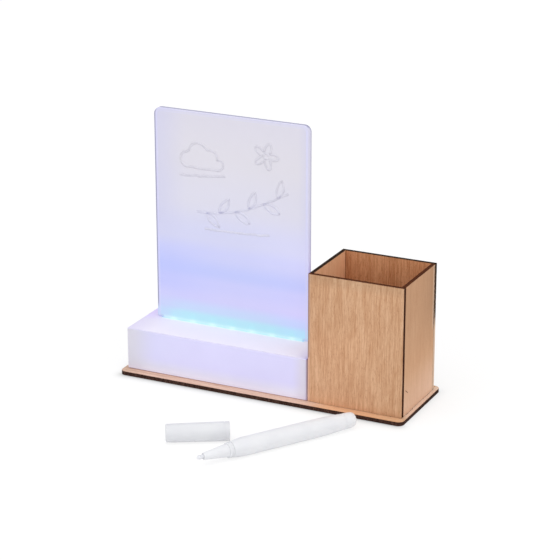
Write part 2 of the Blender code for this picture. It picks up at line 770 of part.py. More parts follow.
def housing_tray():
    shape = bmesh.new()
    add_block(
        shape,
        (INNER_LEFT + FIT_GAP, INNER_FRONT + FIT_GAP, SEAT),
        (INNER_RIGHT - FIT_GAP, INNER_REAR - FIT_GAP, TRAY_TOP),
    )
    tray = solid("housing_tray", shape, white_inner())
    combine(tray, tray_ribs(), "UNION", "tray_ribs")
    ends = (CIRCUIT_LEFT + CIRCUIT_POST_INSET, CIRCUIT_RIGHT - CIRCUIT_POST_INSET)
    rows = {"front": CIRCUIT_FRONT + CIRCUIT_POST_INSET, "rear": CIRCUIT_REAR - CIRCUIT_POST_INSET}
    for row, y in rows.items():
        rests = tray_posts([(x, y) for x in ends], CIRCUIT_POST_RADIUS)
        combine(tray, rests, "UNION", f"tray_{row}_rests")
    screw_posts = tray_posts(CIRCUIT_SCREW_PLACES, CIRCUIT_SCREW_POST_RADIUS)
    combine(tray, screw_posts, "UNION", "tray_screw_posts")
    combine(tray, tray_holes(), "DIFFERENCE", "tray_holes")
    return tray


# Writing panel and its light

def writing_panel():
    """A sheet with round top corners, on shoulders, with a tab that stands in the slot."""
    half = (PANEL_RIGHT - PANEL_LEFT) / 2
    tab_half = half - SHOULDER_WIDTH
    top = PANEL_TOP - PANEL_SEAT
    outer = PANEL_CORNER_RADIUS
    small = SHOULDER_CORNER_RADIUS
    few = CORNER_STEPS // 2
    outline = (
        arc((tab_half - small, small - PANEL_TAB_DEPTH), small, 270, 360, few)
        + [(tab_half, 0)]
        + arc((half - small, small), small, 270, 360, few)
        + arc((half - outer, top - outer), outer, 0, 90)
        + arc((outer - half, top - outer), outer, 90, 180)
        + arc((small - half, small), small, 180, 270, few)
        + [(-tab_half, 0)]
        + arc((small - tab_half, small - PANEL_TAB_DEPTH), small, 180, 270, few)
    )
    shape = bmesh.new()
    add_prism(shape, outline, -PANEL_THICKNESS / 2, PANEL_THICKNESS / 2, "Y")
    panel = solid("writing_panel", shape, frosted_acrylic())
    panel.location = ((PANEL_LEFT + PANEL_RIGHT) / 2, PANEL_MIDDLE, PANEL_SEAT)
    soften(panel, PANEL_EDGE_BEVEL, 1)
    return panel


def led_rail():
    """A channel that carries the strip under the slot, on two long feet."""
    shape = bmesh.new()
    inner_front = RAIL_FRONT + RAIL_WALL
    inner_rear = RAIL_REAR - RAIL_WALL
    web_bottom = RAIL_WEB_TOP - RAIL_WEB
    outline = [
        (RAIL_FRONT, RAIL_FOOT),
        (inner_front, RAIL_FOOT),
        (inner_front, web_bottom),
        (inner_rear, web_bottom),
        (inner_rear, RAIL_FOOT),
        (RAIL_REAR, RAIL_FOOT),
        (RAIL_REAR, RAIL_TOP),
        (inner_rear, RAIL_TOP),
        (inner_rear, RAIL_WEB_TOP),
        (inner_front, RAIL_WEB_TOP),
        (inner_front, RAIL_TOP),
        (RAIL_FRONT, RAIL_TOP),
    ]
    add_prism(shape, outline, TAB_LEFT, TAB_RIGHT, "X")
    return solid("led_rail", shape, white_inner())


def led_strip():
    shape = bmesh.new()
    half = STRIP_WIDTH / 2
    add_block(
        shape,
        (STRIP_LEFT, PANEL_MIDDLE - half, STRIP_BOTTOM),
        (STRIP_RIGHT, PANEL_MIDDLE + half, STRIP_TOP),
    )
    return solid("led_strip", shape, strip_film())


def leds():
    """A row of lamps along the strip: square bodies with a shallow well in their tops."""
    half = LED_SIZE / 2
    shape = bmesh.new()
    top = add_prism(shape, rectangle(-half, half, -half, half), 0, LED_HEIGHT)
    face = next(face for face in shape.faces if all(corner in top for corner in face.verts))
    bmesh.ops.inset_region(shape, faces=[face], thickness=LED_RIM)
    bmesh.ops.translate(shape, verts=face.verts[:], vec=(0, 0, -LED_RECESS))
    first = solid("led_1", shape, lamp_body())
    for number in range(1, LED_COUNT + 1):
        lamp = first
        if number > 1:
            lamp = bpy.data.objects.new(f"led_{number}", first.data)
            bpy.context.scene.collection.objects.link(lamp)
        lamp.location = (STRIP_LEFT + (number - 0.5) * LED_PITCH, PANEL_MIDDLE, LED_BOTTOM)


# Control board

def control_board():
    shape = bmesh.new()
    outline = rectangle(CIRCUIT_LEFT, CIRCUIT_RIGHT, CIRCUIT_FRONT, CIRCUIT_REAR)
    add_prism(shape, outline, CIRCUIT_BOTTOM, CIRCUIT_TOP)
    board = solid("control_board", shape, circuit_green())
    cuts = bmesh.new()
    for place in CIRCUIT_SCREW_PLACES:
        hole = CIRCUIT_SCREW_RADIUS + FIT_GAP
        add_post(cuts, place, hole, CIRCUIT_BOTTOM - CUT_OVERRUN, CIRCUIT_TOP + CUT_OVERRUN)
    combine(board, cuts, "DIFFERENCE", "control_board_holes")
    return board


def driver_chip():
    x = CIRCUIT_LEFT + CHIP_PLACE_SHARE * CIRCUIT_LENGTH
    half = CHIP_SIZE / 2
    shape = bmesh.new()
    add_block(
        shape,
        (x - half, CIRCUIT_MIDDLE - half, COMPONENT_SEAT),
        (x + half, CIRCUIT_MIDDLE + half, COMPONENT_SEAT + CHIP_HEIGHT),
    )
    chip = solid("driver_chip", shape, chip_black())
    soften(chip, CHIP_BEVEL, 1)
    return chip


def driver_coil():
    x = CIRCUIT_LEFT + COIL_PLACE_SHARE * CIRCUIT_LENGTH
    top = COMPONENT_SEAT + COIL_HEIGHT
    profile = [
        (COMPONENT_SEAT, 0),
        (COMPONENT_SEAT, COIL_RADIUS),
        (COMPONENT_SEAT + COIL_FLANGE, COIL_RADIUS),
        (COMPONENT_SEAT + COIL_FLANGE, COIL_CORE_RADIUS),
        (top - COIL_FLANGE, COIL_CORE_RADIUS),
        (top - COIL_FLANGE, COIL_RADIUS),
        (top, COIL_RADIUS),
        (top, 0),
    ]
    shape = bmesh.new()
    add_turned(shape, profile, "Z", (x, CIRCUIT_MIDDLE, 0), POST_STEPS)
    return solid("driver_coil", shape, chip_black(), smooth=True)


def socket_outline(inset):
    half_width = SOCKET_WIDTH / 2 - inset
    radius = SOCKET_HEIGHT / 2 - inset
    return stadium(SOCKET_MIDDLE, SOCKET_AXIS_HEIGHT, half_width, radius, CORNER_STEPS // 2)


def usb_socket():
    """A drawn steel shell, open at the rear."""
    shape = bmesh.new()
    inner_end = SOCKET_MOUTH - SOCKET_DEPTH
    add_prism(shape, socket_outline(0), inner_end, SOCKET_MOUTH, "Y")
    shell = solid("usb_socket", shape, socket_steel(), smooth=True)
    cut = bmesh.new()
    add_prism(cut, socket_outline(SOCKET_SHELL), inner_end + SOCKET_SHELL, SOCKET_MOUTH + CUT_OVERRUN, "Y")
    combine(shell, cut, "DIFFERENCE", "usb_socket_bore")
    return shell


def usb_tongue():
    """The contact tongue on its root block, inside the shell."""
    root_front = SOCKET_MOUTH - SOCKET_DEPTH + SOCKET_SHELL + FIT_GAP
    root_rear = root_front + TONGUE_ROOT_DEPTH
    shape = bmesh.new()
    add_prism(shape, socket_outline(SOCKET_SHELL + FIT_GAP), root_front, root_rear, "Y")
    tongue = solid("usb_tongue", shape, chip_black())
    blade = bmesh.new()
    outline = rectangle(
        SOCKET_MIDDLE - TONGUE_WIDTH / 2,
        SOCKET_MIDDLE + TONGUE_WIDTH / 2,
        SOCKET_AXIS_HEIGHT - TONGUE_THICKNESS / 2,
        SOCKET_AXIS_HEIGHT + TONGUE_THICKNESS / 2,
    )
    add_prism(blade, outline, root_rear - TONGUE_ROOT_DEPTH / 2, SOCKET_MOUTH - TONGUE_SETBACK, "Y")
    combine(tongue, blade, "UNION", "usb_tongue_blade")
    return tongue


def switch_body():
    shape = bmesh.new()
    half = SWITCH_WIDTH / 2
    add_block(
        shape,
        (BUTTON_X - half, SWITCH_FRONT, COMPONENT_SEAT),
        (BUTTON_X + half, SWITCH_REAR, BUTTON_Z + half),
    )
    body = solid("switch_body", shape, chip_black())
    soften(body, SWITCH_BEVEL, 1)
    bore = STEM_RADIUS + FIT_GAP
    profile = [
        (SWITCH_BORE_END, 0),
        (SWITCH_BORE_END, bore),
        (SWITCH_REAR + CUT_OVERRUN, bore),
        (SWITCH_REAR + CUT_OVERRUN, 0),
    ]
    cut = bmesh.new()
    add_turned(cut, profile, "Y", (BUTTON_X, 0, BUTTON_Z), POST_STEPS)
    combine(body, cut, "DIFFERENCE", "switch_bore")
    return body


def power_button():
    """A round button with a captive lip and a stem that reaches into the switch."""
    crown = BODY_REAR + BUTTON_PROUD
    profile = [
        (STEM_END, 0),
        (STEM_END, STEM_RADIUS),
        (BUTTON_LIP_FRONT, STEM_RADIUS),
        (BUTTON_LIP_FRONT, BUTTON_LIP_RADIUS),
        (BUTTON_LIP_REAR, BUTTON_LIP_RADIUS),
        (BUTTON_LIP_REAR, BUTTON_RADIUS),
        (crown - BUTTON_EDGE, BUTTON_RADIUS),
        (crown, BUTTON_RADIUS - BUTTON_EDGE),
        (crown, 0),
    ]
    shape = bmesh.new()
    add_turned(shape, profile, "Y", (0, 0, 0), POST_STEPS)
    button = solid("power_button", shape, button_grey(), smooth=True)
    button.location = (BUTTON_X, 0, BUTTON_Z)
    return button


# Cell and leads

def battery_cell():
    shape = bmesh.new()
    add_block(shape, (CELL_LEFT, CELL_FRONT, CELL_BOTTOM), (CELL_RIGHT, CELL_REAR, CELL_TOP))
    cell = solid("battery_cell", shape, cell_wrap())
    soften(cell, CELL_EDGE_RADIUS, CELL_EDGE_STEPS)
    return cell


def battery_pad():
    shape = bmesh.new()
    add_block(
        shape,
        (CELL_LEFT + CELL_PAD_INSET, CELL_FRONT + CELL_PAD_INSET, CELL_PAD_BOTTOM),
        (CELL_RIGHT - CELL_PAD_INSET, CELL_REAR - CELL_PAD_INSET, CELL_PAD_BOTTOM + CELL_PAD_THICKNESS),
    )
    return solid("battery_pad", shape, foam_grey())


def smooth_route(places):
    """Points of a smooth curve through the places, eased by how far apart they lie."""
    stops = [2 * places[0] - places[1], *places, 2 * places[-1] - places[-2]]
    points = [places[0]]
    for before, start, end, after in zip(stops, stops[1:], stops[2:], stops[3:]):
        lead_in = math.sqrt((start - before).length)
        span = math.sqrt((end - start).length)
        lead_out = math.sqrt((after - end).length)
        chord = (end - start) / span
        leaving = (start - before) / lead_in - (end - before) / (lead_in + span) + chord
        arriving = chord - (after - start) / (span + lead_out) + (after - end) / lead_out
        handle_out = start + leaving * span / 3
        handle_in = end - arriving * span / 3
        points += interpolate_bezier(start, handle_out, handle_in, end, LEAD_SAMPLES + 1)[1:]
    return points


def lead(name, start, lane, finish):
    """A lead from its start, round the rail's right end in its own lane, down to its pad."""
    begin = Vector(start)
    lane_x = TAB_RIGHT + LEAD_FIRST_LANE + lane * LEAD_PITCH
    pad_x = CIRCUIT_RIGHT - PAD_INSET - (LEAD_COUNT - 1 - lane) * LEAD_PITCH
    pad = Vector((pad_x, CIRCUIT_FRONT + PAD_INSET, COMPONENT_SEAT))
    over_edge = Vector((lane_x, pad.y - LEAD_STUB, pad.z + LEAD_RISE))
    turn = Vector((lane_x, (begin.y + over_edge.y) / 2, (begin.z + over_edge.z) / 2))
    places = [
        begin,
        begin + Vector((LEAD_STUB, 0, 0)),
        turn,
        over_edge,
        pad + Vector((0, 0, LEAD_DROP)),
        pad,
    ]
    curve = bpy.data.curves.new(name, "CURVE")
    curve.dimensions = "3D"
    curve.fill_mode = "FULL"
    curve.bevel_depth = LEAD_RADIUS
    curve.bevel_resolution = 1
    curve.use_fill_caps = True
    points = smooth_route(places)
    line = curve.splines.new("POLY")
    line.points.add(len(points) - 1)
    for slot, point in zip(line.points, points):
        slot.co = (*point, 1.0)
    curve.materials.append(finish)
    made = bpy.data.objects.new(name, curve)
    bpy.context.scene.collection.objects.link(made)
    return made


def leads():
    red = lead_red()
    black = lead_black()
    half = LEAD_SPREAD / 2
    strip_height = STRIP_TOP + FIT_GAP + LEAD_RADIUS
    strip_start = STRIP_RIGHT - LEAD_LAP
    lead("led_lead_positive", (strip_start, PANEL_MIDDLE + half, strip_height), 0, red)
    lead("led_lead_negative", (strip_start, PANEL_MIDDLE - half, strip_height), 1, black)
    cell_start = CELL_RIGHT + FIT_GAP
    cell_height = (CELL_BOTTOM + CELL_TOP) / 2
    lead("cell_lead_positive", (cell_start, CELL_MIDDLE + half, cell_height), 2, red)
    lead("cell_lead_negative", (cell_start, CELL_MIDDLE - half, cell_height), 3, black)


# Screws

def cross_recess(length, width, depth, start, place):
    """A plus-shaped cutter for a driver recess, from just off the head's face into it."""
    x, y = place
    outline = [
        (x - length, y - width),
        (x - width, y - width),
        (x - width, y - length),
        (x + width, y - length),
        (x + width, y - width),
        (x + length, y - width),
        (x + length, y + width),
        (x + width, y + width),
        (x + width, y + length),
        (x - width, y + length),
        (x - width, y + width),
        (x - length, y + width),
    ]
    cut = bmesh.new()
    add_prism(cut, outline, start, start + depth)
    return cut


def screw(name, place, profile, head_radius, head_height, face, inward, finish):
    """A turned screw with a cross recess in its head's face."""
    shape = bmesh.new()
    add_turned(shape, profile, "Z", (*place, 0), POST_STEPS)
    made = solid(name, shape, finish, smooth=True)
    recess = cross_recess(
        head_radius * SCREW_CROSS_LENGTH_SHARE,
        head_radius * SCREW_CROSS_WIDTH_SHARE,
        inward * (head_height * SCREW_CROSS_DEPTH_SHARE + CUT_OVERRUN),
        face - inward * CUT_OVERRUN,
        place,
    )
    combine(made, recess, "DIFFERENCE", name + "_recess")
    return made


def housing_screws():
    """Countersunk screws from under the plate, through the tray, into the cover's bosses."""
    finish = zinc_plate()
    end = FIT_GAP + HOUSING_SCREW_LENGTH
    point = HOUSING_SCREW_LENGTH * SCREW_POINT_SHARE
    profile = [
        (FIT_GAP, 0),
        (FIT_GAP, HOUSING_SCREW_HEAD_RADIUS),
        (FIT_GAP + HOUSING_SCREW_HEAD_HEIGHT, HOUSING_SCREW_RADIUS),
        (end - point, HOUSING_SCREW_RADIUS),
        (end, 0),
    ]
    for number, place in enumerate(BOSS_PLACES, 1):
        screw(
            f"housing_screw_{number}",
            place,
            profile,
            HOUSING_SCREW_HEAD_RADIUS,
            HOUSING_SCREW_HEAD_HEIGHT,
            FIT_GAP,
            1,
            finish,
        )


def circuit_screws():
    """Pan-head screws down through the control board into the tray's posts."""
    finish = zinc_plate()
    top = COMPONENT_SEAT + CIRCUIT_SCREW_HEAD_HEIGHT
    end = COMPONENT_SEAT - CIRCUIT_SCREW_LENGTH
    point = CIRCUIT_SCREW_LENGTH * SCREW_POINT_SHARE
    shoulder = CIRCUIT_SCREW_HEAD_HEIGHT / 2
    profile = [
        (end, 0),
        (end + point, CIRCUIT_SCREW_RADIUS),
        (COMPONENT_SEAT, CIRCUIT_SCREW_RADIUS),
        (COMPONENT_SEAT, CIRCUIT_SCREW_HEAD_RADIUS),
        (top - shoulder, CIRCUIT_SCREW_HEAD_RADIUS),
        (top, CIRCUIT_SCREW_HEAD_RADIUS - shoulder),
        (top, 0),
    ]
    for name, place in zip(("board_screw_left", "board_screw_right"), CIRCUIT_SCREW_PLACES):
        screw(
            name,
            place,
            profile,
            CIRCUIT_SCREW_HEAD_RADIUS,
            CIRCUIT_SCREW_HEAD_HEIGHT,
            top,
            -1,
            finish,
        )


# Marker and cap

def lying(name, x, forward, turn, radius):
    """An empty on the axis of a round piece that lies on the table in front of the plate."""
    rest = bpy.data.objects.new(name, None)
    rest.location = (x, PLATE_FRONT - forward, radius)
    rest.rotation_euler = (0, 0, turn)
    bpy.context.scene.collection.objects.link(rest)
    return rest


def turned_piece(name, profile, finish, rest, closed=False, steps=TURN_STEPS):
    shape = bmesh.new()
    add_turned(shape, profile, "X", (0, 0, 0), steps, closed)
    made = solid(name, shape, finish, smooth=True)
    made.parent = rest
    return made


def marker_nib(rest):
    profile = [
        (0, 0),
        (0, NIB_POINT_RADIUS),
        (NIB_POINT_LENGTH / 3, (NIB_POINT_RADIUS + NIB_RADIUS) / 2),
        (NIB_POINT_LENGTH, NIB_RADIUS),
        (NIB_END, NIB_RADIUS),
        (NIB_END, 0),
    ]
    return turned_piece("marker_nib", profile, nib_felt(), rest, steps=POST_STEPS)


def marker_section(rest):
    """The cone that holds the nib, its collar, and the spigot that enters the barrel."""
    spigot = BARREL_NOSE_BORE - FIT_GAP
    nose = SECTION_NOSE_RADIUS - NIB_RADIUS
    groove = SECTION_COLLAR_LENGTH / 3
    groove_radius = SECTION_COLLAR_RADIUS - FIT_GAP
    profile = [
        (NIB_SHOWING, SECTION_BORE),
        (NIB_SHOWING, SECTION_NOSE_RADIUS - nose / 4),
        (NIB_SHOWING + nose / 4, SECTION_NOSE_RADIUS),
        (SECTION_ROOT, SECTION_ROOT_RADIUS),
        (SECTION_ROOT, SECTION_COLLAR_RADIUS),
        (SECTION_ROOT + groove, SECTION_COLLAR_RADIUS),
        (SECTION_ROOT + groove, groove_radius),
        (SECTION_ROOT + 2 * groove, groove_radius),
        (SECTION_ROOT + 2 * groove, SECTION_COLLAR_RADIUS),
        (SECTION_COLLAR_END, SECTION_COLLAR_RADIUS),
        (SECTION_COLLAR_END, spigot),
        (SECTION_END, spigot),
        (SECTION_END, SECTION_BORE),
    ]
    return turned_piece("marker_section", profile, marker_white(), rest, closed=True)


def marker_barrel(rest):
    """A turned tube: round shoulder, straight body, tail that draws in, and a stepped bore."""
    shoulder_end = BARREL_START + BARREL_NOSE_LENGTH
    taper_start = BARREL_END - BARREL_TAPER_LENGTH
    rise = MARKER_RADIUS - BARREL_NOSE_RADIUS
    fall = MARKER_RADIUS - BARREL_TAIL_RADIUS
    bore_step = SECTION_END + FIT_GAP
    profile = [(BARREL_START, BARREL_NOSE_BORE)]
    for step in range(CORNER_STEPS + 1):
        angle = math.pi / 2 * step / CORNER_STEPS
        along = shoulder_end - BARREL_NOSE_LENGTH * math.cos(angle)
        profile.append((along, BARREL_NOSE_RADIUS + rise * math.sin(angle)))
    for step in range(CORNER_STEPS + 1):
        share = step / CORNER_STEPS
        profile.append((taper_start + BARREL_TAPER_LENGTH * share, MARKER_RADIUS - fall * share**2))
    profile += [
        (BARREL_END, BARREL_BORE),
        (bore_step, BARREL_BORE),
        (bore_step, BARREL_NOSE_BORE),
    ]
    return turned_piece("marker_barrel", profile, marker_white(), rest, closed=True)


def marker_reservoir(rest):
    radius = BARREL_BORE - FIT_GAP
    edge = FIT_GAP
    end = RESERVOIR_START + RESERVOIR_LENGTH
    profile = [
        (RESERVOIR_START, 0),
        (RESERVOIR_START, radius - edge),
        (RESERVOIR_START + edge, radius),
        (end - edge, radius),
        (end, radius - edge),
        (end, 0),
    ]
    return turned_piece("marker_reservoir", profile, reservoir_fibre(), rest, steps=POST_STEPS)


def marker_tail_plug(rest):
    """A domed plug whose spigot closes the barrel's tail."""
    spigot = BARREL_BORE - FIT_GAP
    spigot_start = BARREL_END - PLUG_SPIGOT_LENGTH
    start = BARREL_END + FIT_GAP
    fall = BARREL_TAIL_RADIUS - PLUG_END_RADIUS
    profile = [(spigot_start, 0), (spigot_start, spigot), (start, spigot)]
    for step in range(CORNER_STEPS + 1):
        angle = math.pi / 2 * step / CORNER_STEPS
        radius = PLUG_END_RADIUS + fall * math.cos(angle)
        profile.append((start + PLUG_DOME_LENGTH * math.sin(angle), radius))
    profile.append((start + PLUG_DOME_LENGTH, 0))
    return turned_piece("marker_tail_plug", profile, marker_white(), rest)


def marker():
    rest = lying("marker_rest", MARKER_TIP_X, MARKER_TIP_FORWARD, MARKER_TURN, MARKER_RADIUS)
    marker_nib(rest)
    marker_section(rest)
    marker_barrel(rest)
    marker_reservoir(rest)
    marker_tail_plug(rest)


def marker_cap():
    """A closed cap with a ring near its mouth and a stepped bore."""
    rest = lying("cap_rest", CAP_END_X, CAP_END_FORWARD, CAP_TURN, CAP_MOUTH_RADIUS)
    ring_end = CAP_LENGTH - CAP_RING_PLACE
    ring_start = ring_end - CAP_RING_WIDTH
    bore_step = CAP_LENGTH - CAP_MOUTH_DEPTH
    wall = CAP_MOUTH_RADIUS - CAP_EDGE_RADIUS / 2
    profile = [(0, 0)]
    profile += [
        (CAP_EDGE_RADIUS + v, CAP_END_RADIUS - CAP_EDGE_RADIUS + u)
        for v, u in arc((0, 0), CAP_EDGE_RADIUS, 180, 90, CORNER_STEPS // 2)
    ]
    profile += [
        (ring_start, CAP_MOUTH_RADIUS),
        (ring_start, CAP_MOUTH_RADIUS - CAP_RING_DEPTH),
        (ring_end, CAP_MOUTH_RADIUS - CAP_RING_DEPTH),
        (ring_end, CAP_MOUTH_RADIUS),
        (CAP_LENGTH - CAP_EDGE_RADIUS / 2, CAP_MOUTH_RADIUS),
        (CAP_LENGTH, wall),
        (CAP_LENGTH, CAP_MOUTH_BORE),
        (bore_step, CAP_MOUTH_BORE),
        (bore_step - CAP_BORE_TAPER, CAP_BORE),
        (CAP_END_WALL, CAP_BORE),
        (CAP_END_WALL, 0),
    ]
    return turned_piece("marker_cap", profile, marker_white(), rest)


def main():
    clear_scene()
    base_plate()
    pen_holder()
    housing_cover()
    housing_tray()
    housing_screws()
    writing_panel()
    led_rail()
    led_strip()
    leds()
    control_board()
    circuit_screws()
    driver_chip()
    driver_coil()
    usb_socket()
    usb_tongue()
    switch_body()
    power_button()
    battery_cell()
    battery_pad()
    leads()
    marker()
    marker_cap()


main()
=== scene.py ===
"""Looks of the desk writing board: finishes, turned and drawn pieces, studio light and camera.

Metres, +Z up, in the frame's own axes: +X runs towards the pen holder and -Y is the front.
"""

import math

import bmesh
import bpy
from mathutils import Matrix, Vector


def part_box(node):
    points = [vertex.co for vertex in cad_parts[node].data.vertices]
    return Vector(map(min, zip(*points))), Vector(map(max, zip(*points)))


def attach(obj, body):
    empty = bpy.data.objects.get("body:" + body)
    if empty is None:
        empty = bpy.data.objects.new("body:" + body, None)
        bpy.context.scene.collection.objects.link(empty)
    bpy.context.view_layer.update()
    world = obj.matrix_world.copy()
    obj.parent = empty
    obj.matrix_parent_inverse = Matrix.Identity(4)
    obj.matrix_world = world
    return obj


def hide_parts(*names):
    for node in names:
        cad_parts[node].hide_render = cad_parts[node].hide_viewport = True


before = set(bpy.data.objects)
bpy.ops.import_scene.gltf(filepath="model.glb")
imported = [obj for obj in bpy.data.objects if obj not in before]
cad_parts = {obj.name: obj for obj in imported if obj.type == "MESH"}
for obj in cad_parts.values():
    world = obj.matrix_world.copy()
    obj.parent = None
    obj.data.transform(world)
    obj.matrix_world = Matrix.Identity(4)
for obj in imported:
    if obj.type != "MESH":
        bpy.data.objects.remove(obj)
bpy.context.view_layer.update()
MM = 0.001
WELD = MM / 10000


def shade(red, green, blue):
    """A colour as the screen shows it, in steps of 255, made linear."""
    linear = []
    for value in (red, green, blue):
        part = value / 255
        linear.append(part / 12.92 if part <= 0.04045 else ((part + 0.055) / 1.055) ** 2.4)
    return tuple(linear)


# Camera, solved from the straight edges of the object
CAMERA_LENS_MM = 136.05
CAMERA_SENSOR_MM = 36.0
CAMERA_TARGET = Vector((2.55, -3.0, 82.51)) * MM
CAMERA_DISTANCE = 1550.8 * MM
CAMERA_TURN = math.radians(25.636)
CAMERA_RISE = math.radians(19.66)
CAMERA_NEAR = 0.01
CAMERA_FAR = 20.0

# Light and floor
SKY_STRENGTH = 0.50
FLOOR_SIZE = 6.0
FLOOR_OWN_LIGHT = 0.755
FLOOR_OWN_RISE = 0.065
FLOOR_SHADED_SHARE = 0.25
# Painted contact shadow on the floor round the plate
FLOOR_SHADOW_REACH = 3.2 * MM
FLOOR_SHADOW_DEPTH = 0.50
FLOOR_SHADOW_BESIDE = 0.25
FLOOR_BOUNCE = 0.86
FLOOR_BOUNCE_GLOW = 0.12
PLATE_CORNER = 4.5 * MM
LAMP_TARGET = Vector((0, 0, 0.06))
LAMPS = (
    ("overhead softbox", (-0.05, -0.35, 1.60), 1.6, 13.6),
    ("front softbox", (-0.55, -1.70, 0.75), 1.3, 7.9),
    ("right softbox", (1.35, -0.40, 0.70), 1.1, 5.8),
)

# A surface counts as facing an axis over this rise of its normal
FACING = (0.5, 0.8)
CUT_FACING = (0.4, 0.6)

# Grain of the laser-cut boards. Each table of tones is a ramp's stops of (place, colour).
WOOD_SHEEN = 0.03
GRAIN_STREAK = 0.9 * MM
GRAIN_FINE = 0.28 * MM
GRAIN_LENGTH = 26 * MM
GRAIN_FINE_LENGTH = 7 * MM
GRAIN_WAVER = 1.3 * MM
GRAIN_WAVER_LENGTH = 34 * MM
GRAIN_RELIEF = 0.12 * MM
FLECK_WIDTH = 0.33 * MM
FLECK_LENGTH = 2.1 * MM
BOARD_TONE_WIDTH = 22 / 3 * MM
BOARD_TONE_LENGTH = 66 * MM
BOARD_TONES = (
    (0.40, shade(189, 140, 104)),
    (0.50, shade(205, 160, 125)),
    (0.60, shade(219, 177, 143)),
)

# Charred edges
SCORCH_REACH = 0.45 * MM
SCORCH_PATCH = 3.5 * MM
CHAR_STREAK = 0.5 * MM
RED_CHAR = ((0.30, shade(36, 13, 6)), (0.50, shade(74, 36, 17)), (0.72, shade(118, 70, 40)))
BLACK_CHAR = ((0.30, shade(16, 8, 5)), (0.50, shade(36, 23, 16)), (0.72, shade(76, 53, 38)))
PLATE_CHAR = ((0.30, shade(36, 22, 18)), (0.50, shade(58, 38, 32)), (0.72, shade(88, 64, 54)))

# Tints of the boards, painted light and shade among them, as (strength, colour, blend), and the
# reaches over which they come or go
FLECK_TINT = (0.40, shade(150, 96, 62), "MIX")
SCORCH_TINT = (0.55, shade(112, 70, 44), "MIX")
# Painted pink glow of the light box on the board's edge beside it
BOX_GLOW_TINT = (0.6, shade(222, 184, 164), "MIX")
BOX_GLOW_REACH = (0.5 * MM, 2.5 * MM)
# A darker line along the board's left edge, above the light box
LEFT_EDGE_DARKENING = (0.9, shade(160, 130, 118), "MIX")
LEFT_EDGE_DARK_REACH = (0.7 * MM, 1.6 * MM)
LEFT_EDGE_DARK_RISE = 3 * MM
FRONT_SHADE = (1, (0.80, 0.85, 0.86), "MULTIPLY")
FRONT_SHADE_START = 20 * MM
FRONT_RIGHT_SHADE = 0.4
FRONT_TOP_REACH = (2 * MM, 14 * MM)
FRONT_TOP_SHADE = 0.75
FRONT_UPPER_RISE = (45 * MM, 75 * MM)
FRONT_UPPER_SHADE = 0.3
FRONT_FOOT_LIGHT = (0.6, (0.10, 0.07, 0.05), "ADD")
FRONT_FOOT_HEIGHT = 16 * MM
FRONT_FOOT_FADE = 2.2
# A darker, warmer band just above the board's foot, where it meets the plate
FRONT_FOOT_BAND = (0.8, (0.95, 0.88, 0.79), "MULTIPLY")
FRONT_FOOT_BAND_REACH = (1 * MM, 5 * MM)
FRONT_END_CHAR = (1, (0.45, 0.36, 0.30), "MULTIPLY")
LEFT_INNER_LIGHT = (1, (1.42, 1.38, 1.36), "MULTIPLY")
# Painted darker, redder shade with warm bounce on the back board's inner face, inside the cup
BACK_INNER_SHADE = (1, (0.95, 0.78, 0.65), "MULTIPLY")
# Bare wood on the back board's end below, and painted glints on its char above
BACK_BARE_AND_GLINT = (1, shade(212, 184, 160), "MIX")
RIGHT_SHADE = (1, (0.76, 0.75, 0.74), "MULTIPLY")
RIGHT_SHADE_RISE = (22 * MM, 80 * MM)
RIGHT_REAR_START = 20 * MM
RIGHT_FOOT_LIGHT = (1, (0.18, 0.17, 0.17), "ADD")
RIGHT_FOOT_HEIGHT = 42 * MM
# Painted highlight in a strip along the right board's rear
RIGHT_REAR_HIGHLIGHT = (0.35, shade(226, 204, 182), "MIX")
RIGHT_HIGHLIGHT_REACH = (2.6 * MM, 3.6 * MM)
RIGHT_REAR_CHAR = (0.9, shade(52, 36, 26), "MIX")
RIGHT_CHAR_REACH = (0.8 * MM, 1.3 * MM)
BARE_EDGE_TOP = 50 * MM
BARE_EDGE_FADE = 16 * MM
BARE_EDGE_SOFT = 6 * MM
# Patches of the painted glints on the charred board ends
GLINT_PATCH = 2 * MM
NICK = (0.85, shade(84, 48, 34), "MIX")
NICK_PLACE = (5.1 * MM, 20.7 * MM)
NICK_LENGTH = 2.9 * MM
NICK_DROP = 2.1 * MM
NICK_WIDTH = 0.5 * MM

# Base plate: wood tones with a painted pink reflection of the light box, and with a painted warm
# reflection of the holder
PLATE_BOX_REFLECTED = (
    (0.38, shade(200, 162, 142)),
    (0.50, shade(215, 181, 161)),
    (0.62, shade(230, 199, 180)),
)
PLATE_HOLDER_REFLECTED = (
    (0.38, shade(208, 157, 118)),
    (0.50, shade(223, 176, 139)),
    (0.62, shade(233, 192, 157)),
)
PLATE_TURN = 20 * MM
PLATE_ENDS = (1, (0.91, 0.93, 0.92), "MULTIPLY")
PLATE_LEFT_REACH = 25 * MM
PLATE_RIGHT_REACH = (10 * MM, 30 * MM)
PLATE_STEP_LIGHT = (0.9, shade(240, 212, 191), "MIX")
PLATE_STEP_START = 1 * MM
PLATE_STEP_DEPTH = (4 * MM, 16 * MM)
PLATE_FLECK = (0.25, shade(168, 112, 80), "MIX")
PLATE_SCORCH = (0.5, shade(150, 96, 70), "MIX")

